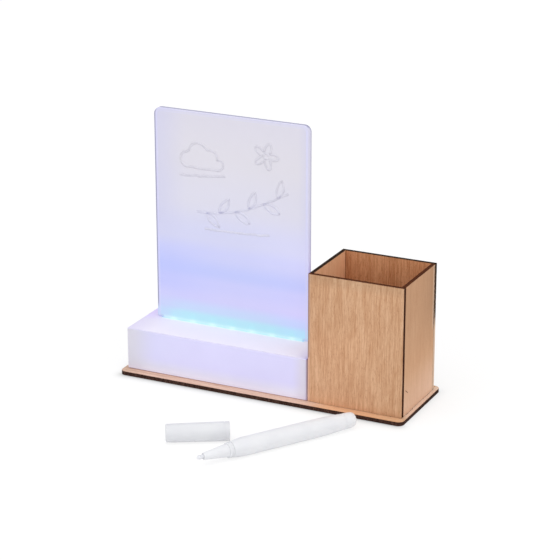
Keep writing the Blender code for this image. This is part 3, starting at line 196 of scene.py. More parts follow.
# Lit panel: its glow from foot to top, then tints and their reaches
PANEL_GLOW = (
    (0.000, (0.08, 0.41, 0.44)),
    (0.035, (0.08, 0.37, 0.44)),
    (0.070, (0.16, 0.27, 0.46)),
    (0.125, (0.22, 0.20, 0.46)),
    (0.200, (0.18, 0.18, 0.46)),
    (0.255, (0.11, 0.15, 0.45)),
    (0.340, (0.18, 0.19, 0.43)),
    (0.420, (0.22, 0.22, 0.38)),
    (0.600, (0.28, 0.26, 0.31)),
    (0.800, (0.29, 0.26, 0.27)),
    (1.000, (0.27, 0.24, 0.27)),
)
PANEL_BASE = ((0.40, 0.41, 0.47), (0.42, 0.43, 0.49))
PANEL_CORNER = 5.0 * MM
PANEL_GRAIN = 0.22 * MM
PANEL_RELIEF = 0.03 * MM
HAZE_PATCH = 45 * MM
SIDE_BLUE = (1, (0.17, 0.16, 0.32), "MIX")
SIDE_SHADE_WIDTH = 30 * MM
BAND_BLUE = (0.45, (0.06, 0.10, 0.48), "MIX")
HOLDER_SIDE_LIGHT = (1, (0.055, 0.05, 0.075), "ADD")
RIGHT_FOOT_LILAC = (1, (0.03, 0.0, 0.09), "ADD")
LEFT_FOOT_FADE = (0.8, (0.20, 0.20, 0.46), "MIX")
LEFT_FADE_REACH = (4 * MM, 24 * MM)
CYAN_BULGE = (0.55, (0.06, 0.44, 0.46), "MIX")
CYAN_REACH = (1 * MM, 9 * MM)
FOOT_LINE = (1, (0.31, 0.52, 0.50), "MIX")
FOOT_LINE_REACH = (0.5 * MM, 3.2 * MM)
FOOT_CORNER = (0.6, (0.12, 0.12, 0.32), "MIX")
UNLIT_SIDE = (3.5 * MM, 6.0 * MM)
OUTLINE = (1, (0.04, 0.04, 0.12), "MIX")
OUTLINE_BASE = (1, (0.26, 0.26, 0.34), "MIX")
OUTLINE_WIDTH = 1.1 * MM
OUTLINE_RISE = (5 * MM, 13 * MM)
RIM_LIGHT = (0.5, (0.25, 0.24, 0.45), "MIX")
RIM_LIGHT_WIDTH = 2.4 * MM
RIM_SOFTNESS = 0.5 * MM
BROW_REACH = (0.8 * MM, 1.8 * MM)
TOP_RIM_REACH = (0.2 * MM, 1 * MM)
REAR_SIDE_DEPTH = (1.8 * MM, 3.6 * MM)
REAR_TOP_DEPTH = (0.4 * MM, 1.8 * MM)
# Painted light on the panel's back face, where the studio lamps reach less
PANEL_BACK_LIGHT = (1, (0.15, 0.15, 0.17), "ADD")

# Light box: glows of its faces, then tints and their reaches
FRONT_GLOW = ((0.10, 0.11, 0.18), (0.03, 0.03, 0.25))
END_GLOW = (0.02, 0.01, 0.07)
# Lamp glow through the cover's top, with painted light from above in it
TOP_GLOW_AND_LIGHT = ((0.065, 0.045, 0.165), (0.18, 0.165, 0.21))
SLOT_GLOW = ((0.14, 0.44, 0.52), (0.42, 0.80, 0.90))
SHELL_BASE = ((0.63, 0.61, 0.66), (0.68, 0.66, 0.71))
GLOW_FROM_ENDS = 26 * MM
LEFT_VIOLET = (1, (0.06, 0.0, 0.26), "MIX")
LEFT_VIOLET_PAST = 8 * MM
LEFT_VIOLET_AHEAD = 10 * MM
PLATE_BOUNCE = (1, (0.07, 0.055, 0.08), "ADD")
PLATE_BOUNCE_HEIGHT = 6 * MM
LOWER_RIGHT_LIGHT = (1, (0.05, 0.06, 0.05), "ADD")
LOWER_RIGHT_TURN = 25 * MM
LOWER_RIGHT_RISE = (2 * MM, 6 * MM)
REAR_LIGHT = (1, (0.10, 0.10, 0.06), "ADD")
RIGHT_END_LIGHT = (1, (0.16, 0.11, 0.08), "ADD")
# Painted shade on the cover's edge bevel: a dimmer glow there
BEVEL_SHADE = (1, (0.01, 0.0, 0.16), "MIX")
BEVEL_FACING = (0.2, 0.9, 0.08)
SLOT_CYAN = (1, (0.15, 0.34, 0.24), "MIX")
GLOW_FROM_SLOT = 5.5 * MM
TAB_INSET = 5 * MM
TAB_SOFTNESS = 3 * MM
SLOT_WALL_DEPTH = 0.15 * MM
SLOT_GAP = 1.2 * MM
SLOT_GAP_SOFTNESS = 0.1 * MM
SLOT_LIT_DEPTH = (2 * MM, 12 * MM)
RIGHT_END_SHADE = (0.5, (0.82, 0.76, 0.94), "MULTIPLY")
RIGHT_END_REACH = 4 * MM
# Painted shade in the gap between the cover and the holder
RIGHT_GAP_SHADE = (1, (0.78, 0.74, 0.76), "MULTIPLY")
RIGHT_GAP_SHADE_REACH = (0.5 * MM, 1.1 * MM)
END_FACE_SHADE = (1, (0.72, 0.70, 0.76), "MULTIPLY")
LEFT_GREEN = (1, (0.95, 0.97, 0.94), "MULTIPLY")
LEFT_GREEN_REACH = 70 * MM
SHELL_GRAIN = 0.35 * MM
SHELL_PATCH = 30 * MM
SHELL_RELIEF = 0.02 * MM

# Small finishes
PLAIN_GRAIN_SHARE = 12
PLAIN_RELIEF = 0.02 * MM
FELT_TONES = (shade(212, 213, 219), shade(232, 233, 238))
FELT_FIBRE = 0.12 * MM
FELT_RELIEF = 0.06 * MM
METAL_LINE = 0.12 * MM
METAL_LINE_LENGTH = 2.5 * MM
METAL_STAIN = 2.0 * MM
METAL_RELIEF = 0.01 * MM
LAMP_TONES = (shade(226, 228, 224), shade(238, 240, 236))
LAMP_GLOW = ((0.02, 0.06, 0.07), (0.55, 0.95, 1.0))
LAMP_WELL = (1.5 * MM, 2.1 * MM)
LAMP_WELL_DEPTH = 1 * MM
LAMP_GRAIN = 0.6 * MM
PHOSPHOR_TONES = (shade(236, 226, 150), shade(246, 240, 190))
PHOSPHOR_GLOW = ((0.50, 0.90, 1.0), (0.62, 0.97, 1.0))
PHOSPHOR_GRIT = 0.15 * MM
CIRCUIT_TONES = (shade(20, 84, 52), shade(34, 112, 70))
TRACE_PITCH = 1.3 * MM
TRACE_AREA = (7 * MM, 4 * MM, 4 * MM)
TRACE_RELIEF = 0.04 * MM
INK_DRY_PATCH = 1.6 * MM
INK_PALE_PATCH = 9 * MM
INK_HEIGHTS = (115 * MM, 165 * MM)
INK_GLOW = ((0.247, 0.247, 0.340), (0.243, 0.228, 0.255))
INK_BASE = ((0.37, 0.37, 0.42), (0.40, 0.40, 0.45))
INK_WORN = (1, (0.045, 0.045, 0.045), "ADD")

# Marker and cap
TURN_STEPS = 128
SHARP_ANGLE = math.radians(35)
MARKER_TIP = Vector((15.3, -160.0, 6.7)) * MM
MARKER_TURN = math.radians(57.1)
MARKER_NOSE_LENGTH = 11.0 * MM
MARKER_NOSE_RADIUS = 5.6 * MM
MARKER_TAPER_LENGTH = 28.0 * MM
MARKER_TAIL_RADIUS = 5.7 * MM
MARKER_BARREL_BORE = 5.3 * MM
MARKER_NOSE_BORE = 4.6 * MM
MARKER_BORE_STEP = 9.3 * MM
MARKER_SKIN_PATCH = 14 * MM
EDGE_BREAK = 0.25 * MM
SECTION_NOSE_RADIUS = 2.6 * MM
SECTION_ROOT_RADIUS = 4.7 * MM
SECTION_COLLAR_LENGTH = 3.1 * MM
SECTION_SPIGOT_LENGTH = 9.0 * MM
SECTION_SPIGOT_RADIUS = 4.3 * MM
SECTION_BORE = 1.8 * MM
GROOVE_DEPTH = 0.3 * MM
NIB_POINT_RADIUS = 0.7 * MM
NIB_POINT_LENGTH = 1.4 * MM
PLUG_END_RADIUS = 3.0 * MM
PLUG_BLUNTNESS = 0.6
PLUG_SEAM = 0.27 * MM
PLUG_SPIGOT_LENGTH = 5.3 * MM
PLUG_SPIGOT_RADIUS = 5.0 * MM
CAP_CLOSED_END = Vector((-23.7, -133.0, 6.9)) * MM
CAP_TURN = math.radians(30.2)
CAP_END_RADIUS = 6.5 * MM
CAP_END_ROUND = 0.9 * MM
CAP_RING_PLACE = 3.2 * MM
CAP_RING_WIDTH = 0.7 * MM
CAP_RING_DEPTH = 0.25 * MM
CAP_MOUTH_BORE = 5.9 * MM
CAP_MOUTH_DEPTH = 9.0 * MM
CAP_BORE = 4.9 * MM
CAP_BORE_TAPER = 2.0 * MM
CAP_END_WALL = 2.2 * MM

# Push button
BUTTON_RADIUS = 3.0 * MM
BUTTON_EDGE = 0.5 * MM
BUTTON_DISH = 0.3 * MM
BUTTON_STEM_RADIUS = 1.2 * MM
BUTTON_LIP_BACK = 2.6 * MM
BUTTON_LIP_THICKNESS = 1.0 * MM
BUTTON_SKIN_PATCH = 2 * MM

# Pen strokes on the panel, with their (x, z) places in millimetres
INK_WIDTH = 1.8 * MM
INK_THICKNESS = 0.06 * MM
INK_CLEARANCE = 0.02 * MM
INK_STEP = 0.6 * MM
INK_END_TAPER = 1.4 * MM
INK_END_SHARE = 0.4
INK_WAVER_PATCH = 6 * MM
INK_THINNEST = 0.6
INK_SWELL = 0.8
INK_HAND_WAVER = 1.8 * MM
CLOUD_PUFFS = (
    (-75.5, 163.5, 5.5, 265, 100),
    (-66.5, 169.5, 7.5, 175, 35),
    (-57.0, 166.5, 6.2, 105, -10),
    (-50.5, 162.2, 4.4, 60, -90),
)
CLOUD_UNDERLINE = ((-82, 151.2), (-70, 151.4), (-57, 152.6), (-44, 153.9))
FLOWER_MIDDLE = (-11.0, 173.5)
FLOWER_PETALS = 5
FLOWER_REACH = 7.0
FLOWER_WAVE = 3.2
FLOWER_EYE = 2.1
FLOWER_EYE_SWEEP = 330
FLOWER_POINTS = 90
STEM = ((-68, 124), (-46, 123), (-20, 131), (7, 148))
STEM_STEPS = 40
LEAF_SHARES = (0.12, 0.28, 0.44, 0.60, 0.76, 0.91)
LEAF_LENGTH = 14.0
LEAF_WIDTH = 5.2
LEAF_LEAN = math.radians(48)
LEAF_FULLNESS = 0.8
LEAF_STEPS = 14
STEM_UNDERLINE = ((-62, 111.8), (-44, 111.3), (-25, 112.2), (-8, 113.6))

# Small parts on the light strip and in the socket
PAD_SIZE = Vector((1.5, 1.3, 0.06)) * MM
RESISTOR_SIZE = Vector((1.6, 0.8, 0.45)) * MM
PHOSPHOR_SIZE = Vector((3.3, 3.3, 0.25)) * MM
CONTACT_SIZE = Vector((0.34, 3.6, 0.05)) * MM
CONTACT_COUNT = 8
CONTACT_PITCH = 0.7 * MM
CONTACT_RISE = 0.35 * MM
CONTACT_INSET = 0.4 * MM
SMALL_CORNER = 0.12 * MM
PHOSPHOR_CORNER = 1.2 * MM
CORNER_STEPS = 4
LAMP_RECESS = 0.4 * MM
PAD_SPREAD = 3.6 * MM


# Node trees

def combined(operation, swapped=False):
    """A method of a field that joins it with another value by a Math node."""

    def join(field, other):
        values = (other, field) if swapped else (field, other)
        return field.tree.math(operation, *values)

    return join


class Field:
    """One socket of a tree. Sums and products of fields and numbers add their Math nodes."""

    def __init__(self, tree, socket):
        self.tree = tree
        self.socket = socket

    __add__ = combined("ADD")
    __radd__ = combined("ADD", swapped=True)
    __sub__ = combined("SUBTRACT")
    __rsub__ = combined("SUBTRACT", swapped=True)
    __mul__ = combined("MULTIPLY")
    __rmul__ = combined("MULTIPLY", swapped=True)
    __truediv__ = combined("DIVIDE")
    __rtruediv__ = combined("DIVIDE", swapped=True)
    __pow__ = combined("POWER")
    least = combined("MINIMUM")
    most = combined("MAXIMUM")

    def __abs__(self):
        return self.tree.math("ABSOLUTE", self)

    def over(self, low, high):
        """0 below low, 1 above high, and smooth between them."""
        return self.tree.node(
            "ShaderNodeMapRange",
            {"interpolation_type": "SMOOTHSTEP"},
            {"Value": self, "From Min": low, "From Max": high},
        )

    def near(self, full, gone):
        """1 up to full, 0 past gone, and smooth between them."""
        return 1 - self.over(full, gone)

    def within(self, low, high, soft):
        """1 between low and high, falling to 0 over a soft margin outside them."""
        return self.over(low - soft, low) * self.near(high, high + soft)

    def floored(self, share):
        """A mask from 0 to 1 made to run from a share to 1."""
        return share + (1 - share) * self


class Tree:
    """A node tree that is built from expressions on fields."""

    def __init__(self, group):
        self.group = group

    def node(self, kind, settings=None, sockets=None, output=0):
        """Adds a node: its settings first, then the values or links of its sockets."""
        made = self.group.nodes.new(kind)
        for name, value in (settings or {}).items():
            if name == "stops":
                self.set_stops(made.color_ramp, value)
            else:
                setattr(made, name, value)
        for name, value in (sockets or {}).items():
            self.feed(made.inputs[name], value)
        return Field(self, made.outputs[output])

    def set_stops(self, ramp, stops):
        """Gives a ramp its stops of (place, colour), eased from each to the next."""
        ramp.interpolation = "EASE"
        while len(ramp.elements) < len(stops):
            ramp.elements.new(1.0)
        for element, (place, colour) in zip(ramp.elements, stops):
            element.position = place
            element.color = (*colour, 1)

    def feed(self, socket, value):
        """Links a field, or each of a list of them, to a socket, or sets the socket's value."""
        for source in value if isinstance(value, list) else [value]:
            if isinstance(source, Field):
                self.group.links.new(source.socket, socket)
            elif socket.type == "RGBA":
                socket.default_value = (*source, 1)
            else:
                socket.default_value = source

    def math(self, operation, *values):
        return self.node("ShaderNodeMath", {"operation": operation}, dict(enumerate(values)))

    def parts(self, vector):
        """The x, y and z of a vector, as three fields."""
        split = self.node("ShaderNodeSeparateXYZ", None, {0: vector}).socket.node
        return [Field(self, socket) for socket in split.outputs]


class Finish(Tree):
    """A Principled material whose varying parts are written as expressions on fields.

    Its place is in metres, and it and the facing are in the object's own axes.
    """

    def __init__(self, name, constants=None):
        self.material = bpy.data.materials.new(name)
        self.material.use_nodes = True
        super().__init__(self.material.node_tree)
        self.shader = self.group.nodes["Principled BSDF"]
        self.set(constants or {})
        self.object_place = self.node("ShaderNodeTexCoord", output="Object")
        self.place = self.parts(self.object_place)
        self.x, self.y, self.z = self.place
        self.facing = self.parts(self.node("ShaderNodeTexCoord", output="Normal"))

    def set(self, values):
        """Feeds the shader's own sockets."""
        for name, value in values.items():
            self.feed(self.shader.inputs[name], value)

    def toward(self, axis):
        """1 on surfaces that face along an axis, and 0 on the others."""
        return self.facing[axis].over(*FACING)

    def noise(self, size, detail=3.0, shift=0.0, place=None, roughness=0.5):
        """Noise in patches of one size, or one along each axis, in metres, about 0 to 1."""
        sizes = size if isinstance(size, (list, tuple)) else [size] * 3
        mapped = self.node(
            "ShaderNodeMapping",
            None,
            {
                "Vector": place or self.object_place,
                "Location": (shift, shift, shift),
                "Scale": tuple(1 / size for size in sizes),
            },
        )
        sockets = {"Vector": mapped, "Scale": 1.0, "Detail": detail, "Roughness": roughness}
        return self.node("ShaderNodeTexNoise", {"noise_dimensions": "3D"}, sockets)

    def mix(self, amount, under, upper, blend="MIX"):
        """One colour over another, by an amount."""
        settings = {"data_type": "RGBA", "blend_type": blend}
        return self.node("ShaderNodeMix", settings, {0: amount, 6: under, 7: upper}, 2)

    def touch(self, under, where, tint):
        """A colour with a tint, given as (strength, colour, blend), laid over it by a mask."""
        strength, colour, blend = tint
        return self.mix(where if strength == 1 else where * strength, under, colour, blend)

    def ramp(self, value, stops):
        """A colour read from given stops of (place, colour)."""
        return self.node("ShaderNodeValToRGB", {"stops": stops}, {0: value})

    def bump(self, height, depth, strength=1.0):
        """Bends the surface by a height field, over a depth in metres."""
        sockets = {"Height": height, "Distance": depth, "Strength": strength}
        self.set({"Normal": self.node("ShaderNodeBump", None, sockets)})


# Wood

def wood_grain(finish, along, face_axis):
    """Streaks, fine lines and short flecks that run along one axis, each about 0 to 1."""
    spots = list(finish.place)
    across = ({0, 1, 2} - {along, face_axis}).pop()
    waver = finish.noise(GRAIN_WAVER_LENGTH, detail=2.0, shift=3.1)
    spots[across] = spots[across] + (waver - 0.5) * (2 * GRAIN_WAVER)
    bent = finish.node("ShaderNodeCombineXYZ", None, dict(enumerate(spots)))

    def lines(width, length, detail, shift, roughness=0.5):
        sizes = [width, width, width]
        sizes[along] = length
        return finish.noise(sizes, detail, shift, bent, roughness)

    streak = lines(GRAIN_STREAK, GRAIN_LENGTH, detail=4.0, shift=0.0, roughness=0.55)
    fine = lines(GRAIN_FINE, GRAIN_FINE_LENGTH, detail=2.0, shift=7.3)
    fleck = lines(FLECK_WIDTH, FLECK_LENGTH, detail=1.0, shift=1.7).over(0.60, 0.72)
    tone = lines(BOARD_TONE_WIDTH, BOARD_TONE_LENGTH, detail=2.0, shift=5.9)
    return streak, fine, fleck, tone


def cut_edge(finish, face_axis):
    """1 on the laser-cut edges of a board, 0 on its two faces."""
    return abs(finish.facing[face_axis]).near(*CUT_FACING)


def char_colour(finish, face_axis, tones):
    """Burnt brown with lighter layers, in lines that cross the board's thickness."""
    sizes = [CHAR_STREAK, CHAR_STREAK, CHAR_STREAK]
    sizes[face_axis] = 6 * CHAR_STREAK
    return finish.ramp(finish.noise(sizes, detail=3.0, shift=2.3), tones)


def scorch(finish, low, high, face_axis):
    """Brown haze beside the cut edges of a board's faces, 0 to 1."""
    nearest = None
    for axis in {0, 1, 2} - {face_axis}:
        spot = finish.place[axis]
        for distance in (spot - low[axis], high[axis] - spot):
            nearest = distance if nearest is None else nearest.least(distance)
    patch = finish.noise(SCORCH_PATCH, detail=2.0, shift=4.4).over(0.35, 0.65)
    return nearest.near(0.0, SCORCH_REACH) * patch.floored(0.35)


def front_board_touch(finish, face, burnt, low, high):
    """Painted pink glow of the light box beside it, a darker line above the box, painted shade to
    the right and at the top, painted light and a darker band at the foot, black at the right end.
    """
    from_box = finish.x - low.x
    above_foot = finish.z - low.z
    above_box = finish.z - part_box("housing_cover")[1].z
    face = finish.touch(face, from_box.near(*BOX_GLOW_REACH), BOX_GLOW_TINT)
    face = finish.touch(face, from_box.near(*LEFT_EDGE_DARK_REACH) * above_box.over(0.0, LEFT_EDGE_DARK_RISE), LEFT_EDGE_DARKENING)
    to_right = finish.x.over(low.x + FRONT_SHADE_START, high.x) * FRONT_RIGHT_SHADE
    top = (high.z - finish.z).near(*FRONT_TOP_REACH) * FRONT_TOP_SHADE
    upper = finish.z.over(*FRONT_UPPER_RISE) * FRONT_UPPER_SHADE
    face = finish.touch(face, top.most(to_right).most(upper), FRONT_SHADE)
    foot = above_foot.near(0.0, FRONT_FOOT_HEIGHT) * (1 - FRONT_FOOT_FADE * to_right)
    face = finish.touch(face, foot, FRONT_FOOT_LIGHT)
    face = finish.touch(face, above_foot.near(*FRONT_FOOT_BAND_REACH), FRONT_FOOT_BAND)
    return face, finish.touch(burnt, finish.toward(0), FRONT_END_CHAR)


def left_board_touch(finish, face, burnt, low, high):
    """The inner face catches the light that comes in over the right board."""
    return finish.touch(face, finish.toward(0), LEFT_INNER_LIGHT), burnt


def right_board_touch(finish, face, burnt, low, high):
    """Smooth, with painted light at its foot, a painted highlight in a strip at the rear, painted
    shade above, and one small nick.
    """
    y, z = finish.y, finish.z
    outer = finish.toward(0)
    rear = y.over(low.y + RIGHT_REAR_START, high.y)
    upper = (z - low.z).over(*RIGHT_SHADE_RISE)
    foot = (z - low.z).near(0.0, RIGHT_FOOT_HEIGHT)
    face = finish.touch(face, upper * outer * rear.floored(0.55), RIGHT_SHADE)
    face = finish.touch(face, foot * outer * rear.floored(0.7), RIGHT_FOOT_LIGHT)
    above = z.over(BARE_EDGE_TOP, BARE_EDGE_TOP + BARE_EDGE_SOFT) * outer
    from_rear = high.y - y
    face = finish.touch(face, from_rear.near(*RIGHT_HIGHLIGHT_REACH) * above, RIGHT_REAR_HIGHLIGHT)
    # The charred line is weaker where painted glints stand on it
    between_glints = 1 - finish.noise(GLINT_PATCH, detail=2.0, shift=9.1).over(0.50, 0.60) * 0.5
    face = finish.touch(face, from_rear.near(*RIGHT_CHAR_REACH) * above * between_glints, RIGHT_REAR_CHAR)
    along = (y - (low.y + NICK_PLACE[0])) / NICK_LENGTH
    up = (z - NICK_PLACE[1] + along * NICK_DROP) / NICK_WIDTH
    return finish.touch(face, (along * along + up * up).near(0.4, 1.0), NICK), burnt


def back_board_touch(finish, face, burnt, low, high):
    """Painted darker, redder shade inside, and an end that is charred above and bare below, with a
    few painted glints.
    """
    inner = (finish.facing[1] * -1).over(*FACING)
    face = finish.touch(face, inner, BACK_INNER_SHADE)
    # Painted glints on the charred end, and bare wood below
    glint_specks = finish.noise(GLINT_PATCH, detail=2.0, shift=9.1).over(0.52, 0.62)
    bare = finish.z.near(BARE_EDGE_TOP, BARE_EDGE_TOP + BARE_EDGE_FADE)
    bare_and_glints = bare.most(glint_specks * finish.z.near(BARE_EDGE_TOP, 2 * BARE_EDGE_TOP) * 0.8)
    return face, finish.touch(burnt, bare_and_glints * finish.toward(0), BACK_BARE_AND_GLINT)


def board_wood(side, face_axis, char, streakiness, touch_up):
    """Thin beech-faced board, grain upright, with charred cut edges and its own touch of tone."""
    low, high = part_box(f"holder_{side}_board")
    finish = Finish(f"beech {side} board", {"Specular IOR Level": WOOD_SHEEN})
    streak, fine, fleck, tone = wood_grain(finish, 2, face_axis)
    value = 0.40 * streak + 0.42 * fine + 0.18 * tone
    face = finish.ramp((value - 0.5) * streakiness + 0.5, BOARD_TONES)
    face = finish.touch(face, fleck * streakiness, FLECK_TINT)
    face = finish.touch(face, scorch(finish, low, high, face_axis), SCORCH_TINT)
    face, burnt = touch_up(finish, face, char_colour(finish, face_axis, char), low, high)
    edge = cut_edge(finish, face_axis)
    finish.set(
        {
            "Base Color": finish.mix(edge, face, burnt),
            "Roughness": 0.62 - 0.12 * streak + 0.16 * edge,
        }
    )
    finish.bump(streak * 0.5 + fine * 0.3 - fleck * 0.4, GRAIN_RELIEF, 0.35)
    return finish.material


def holder_finishes():
    """The holder's boards: facing axis, char, streakiness and the touches of each."""
    boards = (
        ("front", 1, RED_CHAR, 1.0, front_board_touch),
        ("back", 1, BLACK_CHAR, 1.8, back_board_touch),
        ("left", 0, BLACK_CHAR, 0.6, left_board_touch),
        ("right", 0, RED_CHAR, 0.45, right_board_touch),
    )
    return {f"holder_{board[0]}_board": board_wood(*board) for board in boards}


def plate_finish():
    """Pale peach board with its grain along its length and a charred rim, with painted reflections
    of the light box and the holder and painted light beside the holder.
    """
    low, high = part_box("base_plate")
    finish = Finish("beech base plate", {"Specular IOR Level": WOOD_SHEEN})
    streak, fine, fleck, tone = wood_grain(finish, 0, 2)
    value = 0.5 * streak + 0.2 * fine + 0.3 * tone
    x, y = finish.x, finish.y
    past_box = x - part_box("housing_cover")[1].x
    past_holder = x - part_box("holder_right_board")[1].x
    box_reflected = finish.ramp(value, PLATE_BOX_REFLECTED)
    holder_reflected = finish.ramp(value, PLATE_HOLDER_REFLECTED)
    face = finish.mix(past_box.over(0.0, PLATE_TURN), box_reflected, holder_reflected)
    at_ends = (x - low.x).near(0.0, PLATE_LEFT_REACH).most((high.x - x).near(*PLATE_RIGHT_REACH))
    face = finish.touch(face, at_ends, PLATE_ENDS)
    beside_holder = past_holder.over(-PLATE_STEP_START, 0.0) * (y - low.y).over(*PLATE_STEP_DEPTH)
    face = finish.touch(face, beside_holder, PLATE_STEP_LIGHT)
    face = finish.touch(face, fleck, PLATE_FLECK)
    face = finish.touch(face, scorch(finish, low, high, 2), PLATE_SCORCH)
    edge = cut_edge(finish, 2)
    finish.set(
        {
            "Base Color": finish.mix(edge, face, char_colour(finish, 2, PLATE_CHAR)),
            "Roughness": 0.60 - 0.1 * streak + 0.15 * edge,
        }
    )
    finish.bump(streak * 0.5 + fine * 0.3, GRAIN_RELIEF, 0.3)
    return finish.material


# Lit acrylic and the light box

def lamp_names():
    """The lamps of the strip, in their order."""
    names = [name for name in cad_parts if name.startswith("led_")]
    return sorted(name for name in names if name[len("led_"):].isdigit())


def lamp_places():
    """The middle of each lamp along the strip."""
    return [sum(corner.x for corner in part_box(name)) / 2 for name in lamp_names()]


def lamp_waves(finish, x):
    """1 over each lamp of the strip and 0 between them."""
    first, second = lamp_places()[:2]
    turn = (x - first) * (math.tau / (second - first))
    return (0.5 + 0.5 * finish.math("COSINE", turn)) ** 3.0


def panel_glow(finish, low, high, seat):
    """The light inside the panel: ramp of tones, bluer sides, cyan foot with a spot per lamp, and
    painted light on the side beside the holder.
    """
    x = finish.x
    middle = (low.x + high.x) / 2
    half = (high.x - low.x) / 2
    above_seat = finish.z - seat
    rise = above_seat / (high.z - seat)
    from_left = x - low.x
    from_right = high.x - x

    glow = finish.ramp(rise, PANEL_GLOW)
    left_side = from_left.near(0.0, SIDE_SHADE_WIDTH) * 0.55
    right_side = from_right.near(0.0, SIDE_SHADE_WIDTH / 3) * 0.4
    glow = finish.touch(glow, (left_side + right_side) * rise.over(0.3, 0.5), SIDE_BLUE)
    blue_band = rise.within(0.18, 0.30, 0.12) * from_left.near(0.0, half)
    glow = finish.touch(glow, blue_band, BAND_BLUE)
    beside_holder = (x - middle).over(0.0, half) * rise.near(0.35, 0.65) * rise.over(0.05, 0.14)
    glow = finish.touch(glow, beside_holder, HOLDER_SIDE_LIGHT)
    right_foot = from_right.near(0.0, half * 2 / 3) * rise.near(0.07, 0.14)
    glow = finish.touch(glow, right_foot, RIGHT_FOOT_LILAC)

    lit = (half - abs(x - middle)).over(*UNLIT_SIDE)
    waves = lamp_waves(finish, x)
    foot = above_seat.near(*FOOT_LINE_REACH)
    left_fade = from_left.over(*LEFT_FADE_REACH).floored(0.38)
    glow = finish.touch(glow, (1 - left_fade) * rise.near(0.10, 0.18), LEFT_FOOT_FADE)
    bulge = above_seat.near(*CYAN_REACH) * waves * lit * left_fade
    glow = finish.touch(glow, bulge, CYAN_BULGE)
    glow = finish.touch(glow, foot * lit * waves.floored(0.55), FOOT_LINE)
    return finish.touch(glow, (1 - lit) * foot, FOOT_CORNER)


def panel_rims(finish, low, high, seat):
    """Two masks of the panel's edges: its dark outline, and the painted highlight inside it."""
    x, y, z = finish.place
    half = (high.x - low.x) / 2
    above_seat = z - seat
    rise = above_seat / (high.z - seat)
    corner_x = abs(x - (low.x + half)) - (half - PANEL_CORNER)
    corner_z = z - (high.z - PANEL_CORNER)
    outer_x = corner_x.most(0.0)
    outer_z = corner_z.most(0.0)
    round_off = finish.math("SQRT", outer_x * outer_x + outer_z * outer_z)
    inset = PANEL_CORNER - round_off - corner_x.most(corner_z).least(0.0)

    flat = abs(finish.facing[1]).over(*FACING)
    on_top = finish.toward(2)
    upper_side = corner_z.over(0.0, PANEL_CORNER)
    line = inset.near(OUTLINE_WIDTH * 0.7, OUTLINE_WIDTH * 1.3) * (1 - upper_side)
    left = (high.x - x).over(PANEL_CORNER * 0.4, PANEL_CORNER * 1.6)
    back = y - low.y
    rear_side = (0.05 + 0.9 * back.over(*REAR_SIDE_DEPTH)) * rise.over(0.3, 0.6).floored(0.7)
    rear_top = 0.08 + 0.9 * back.over(*REAR_TOP_DEPTH)
    rear = rear_side * (1 - on_top) + rear_top * on_top
    outline = (line * flat * left).most(rear * (1 - flat)) * above_seat.over(*OUTLINE_RISE)

    side_rim = inset.within(OUTLINE_WIDTH, RIM_LIGHT_WIDTH, RIM_SOFTNESS) * flat * (1 - upper_side)
    brow = inset.near(*BROW_REACH) * upper_side * flat
    top_rim = on_top * back.near(*TOP_RIM_REACH)
    return outline, side_rim.most(brow).most(top_rim)


def panel_finish():
    """Frosted acrylic that carries the lamps' light up: cyan foot, lilac body, dark outline, a
    painted highlight inside its rim and painted light on its back face.
    """
    low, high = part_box("writing_panel")
    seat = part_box("housing_cover")[1].z
    constants = {"Specular IOR Level": 0.35, "Emission Strength": 1.0, "IOR": 1.49}
    finish = Finish("frosted lit acrylic", constants)
    outline, lit_rim = panel_rims(finish, low, high, seat)
    glow = panel_glow(finish, low, high, seat)
    glow = finish.touch(glow, lit_rim, RIM_LIGHT)
    glow = finish.touch(glow, outline, OUTLINE)
    glow = finish.touch(glow, finish.toward(1), PANEL_BACK_LIGHT)
    base = finish.mix(finish.noise(HAZE_PATCH, detail=2.0, shift=1.3), *PANEL_BASE)
    grain = finish.noise(PANEL_GRAIN, detail=2.0, shift=8.2)
    finish.set(
        {
            "Base Color": finish.touch(base, outline, OUTLINE_BASE),
            "Emission Color": glow,
            "Roughness": 0.34 + 0.1 * grain,
        }
    )
    finish.bump(grain, PANEL_RELIEF, 0.25)
    return finish.material


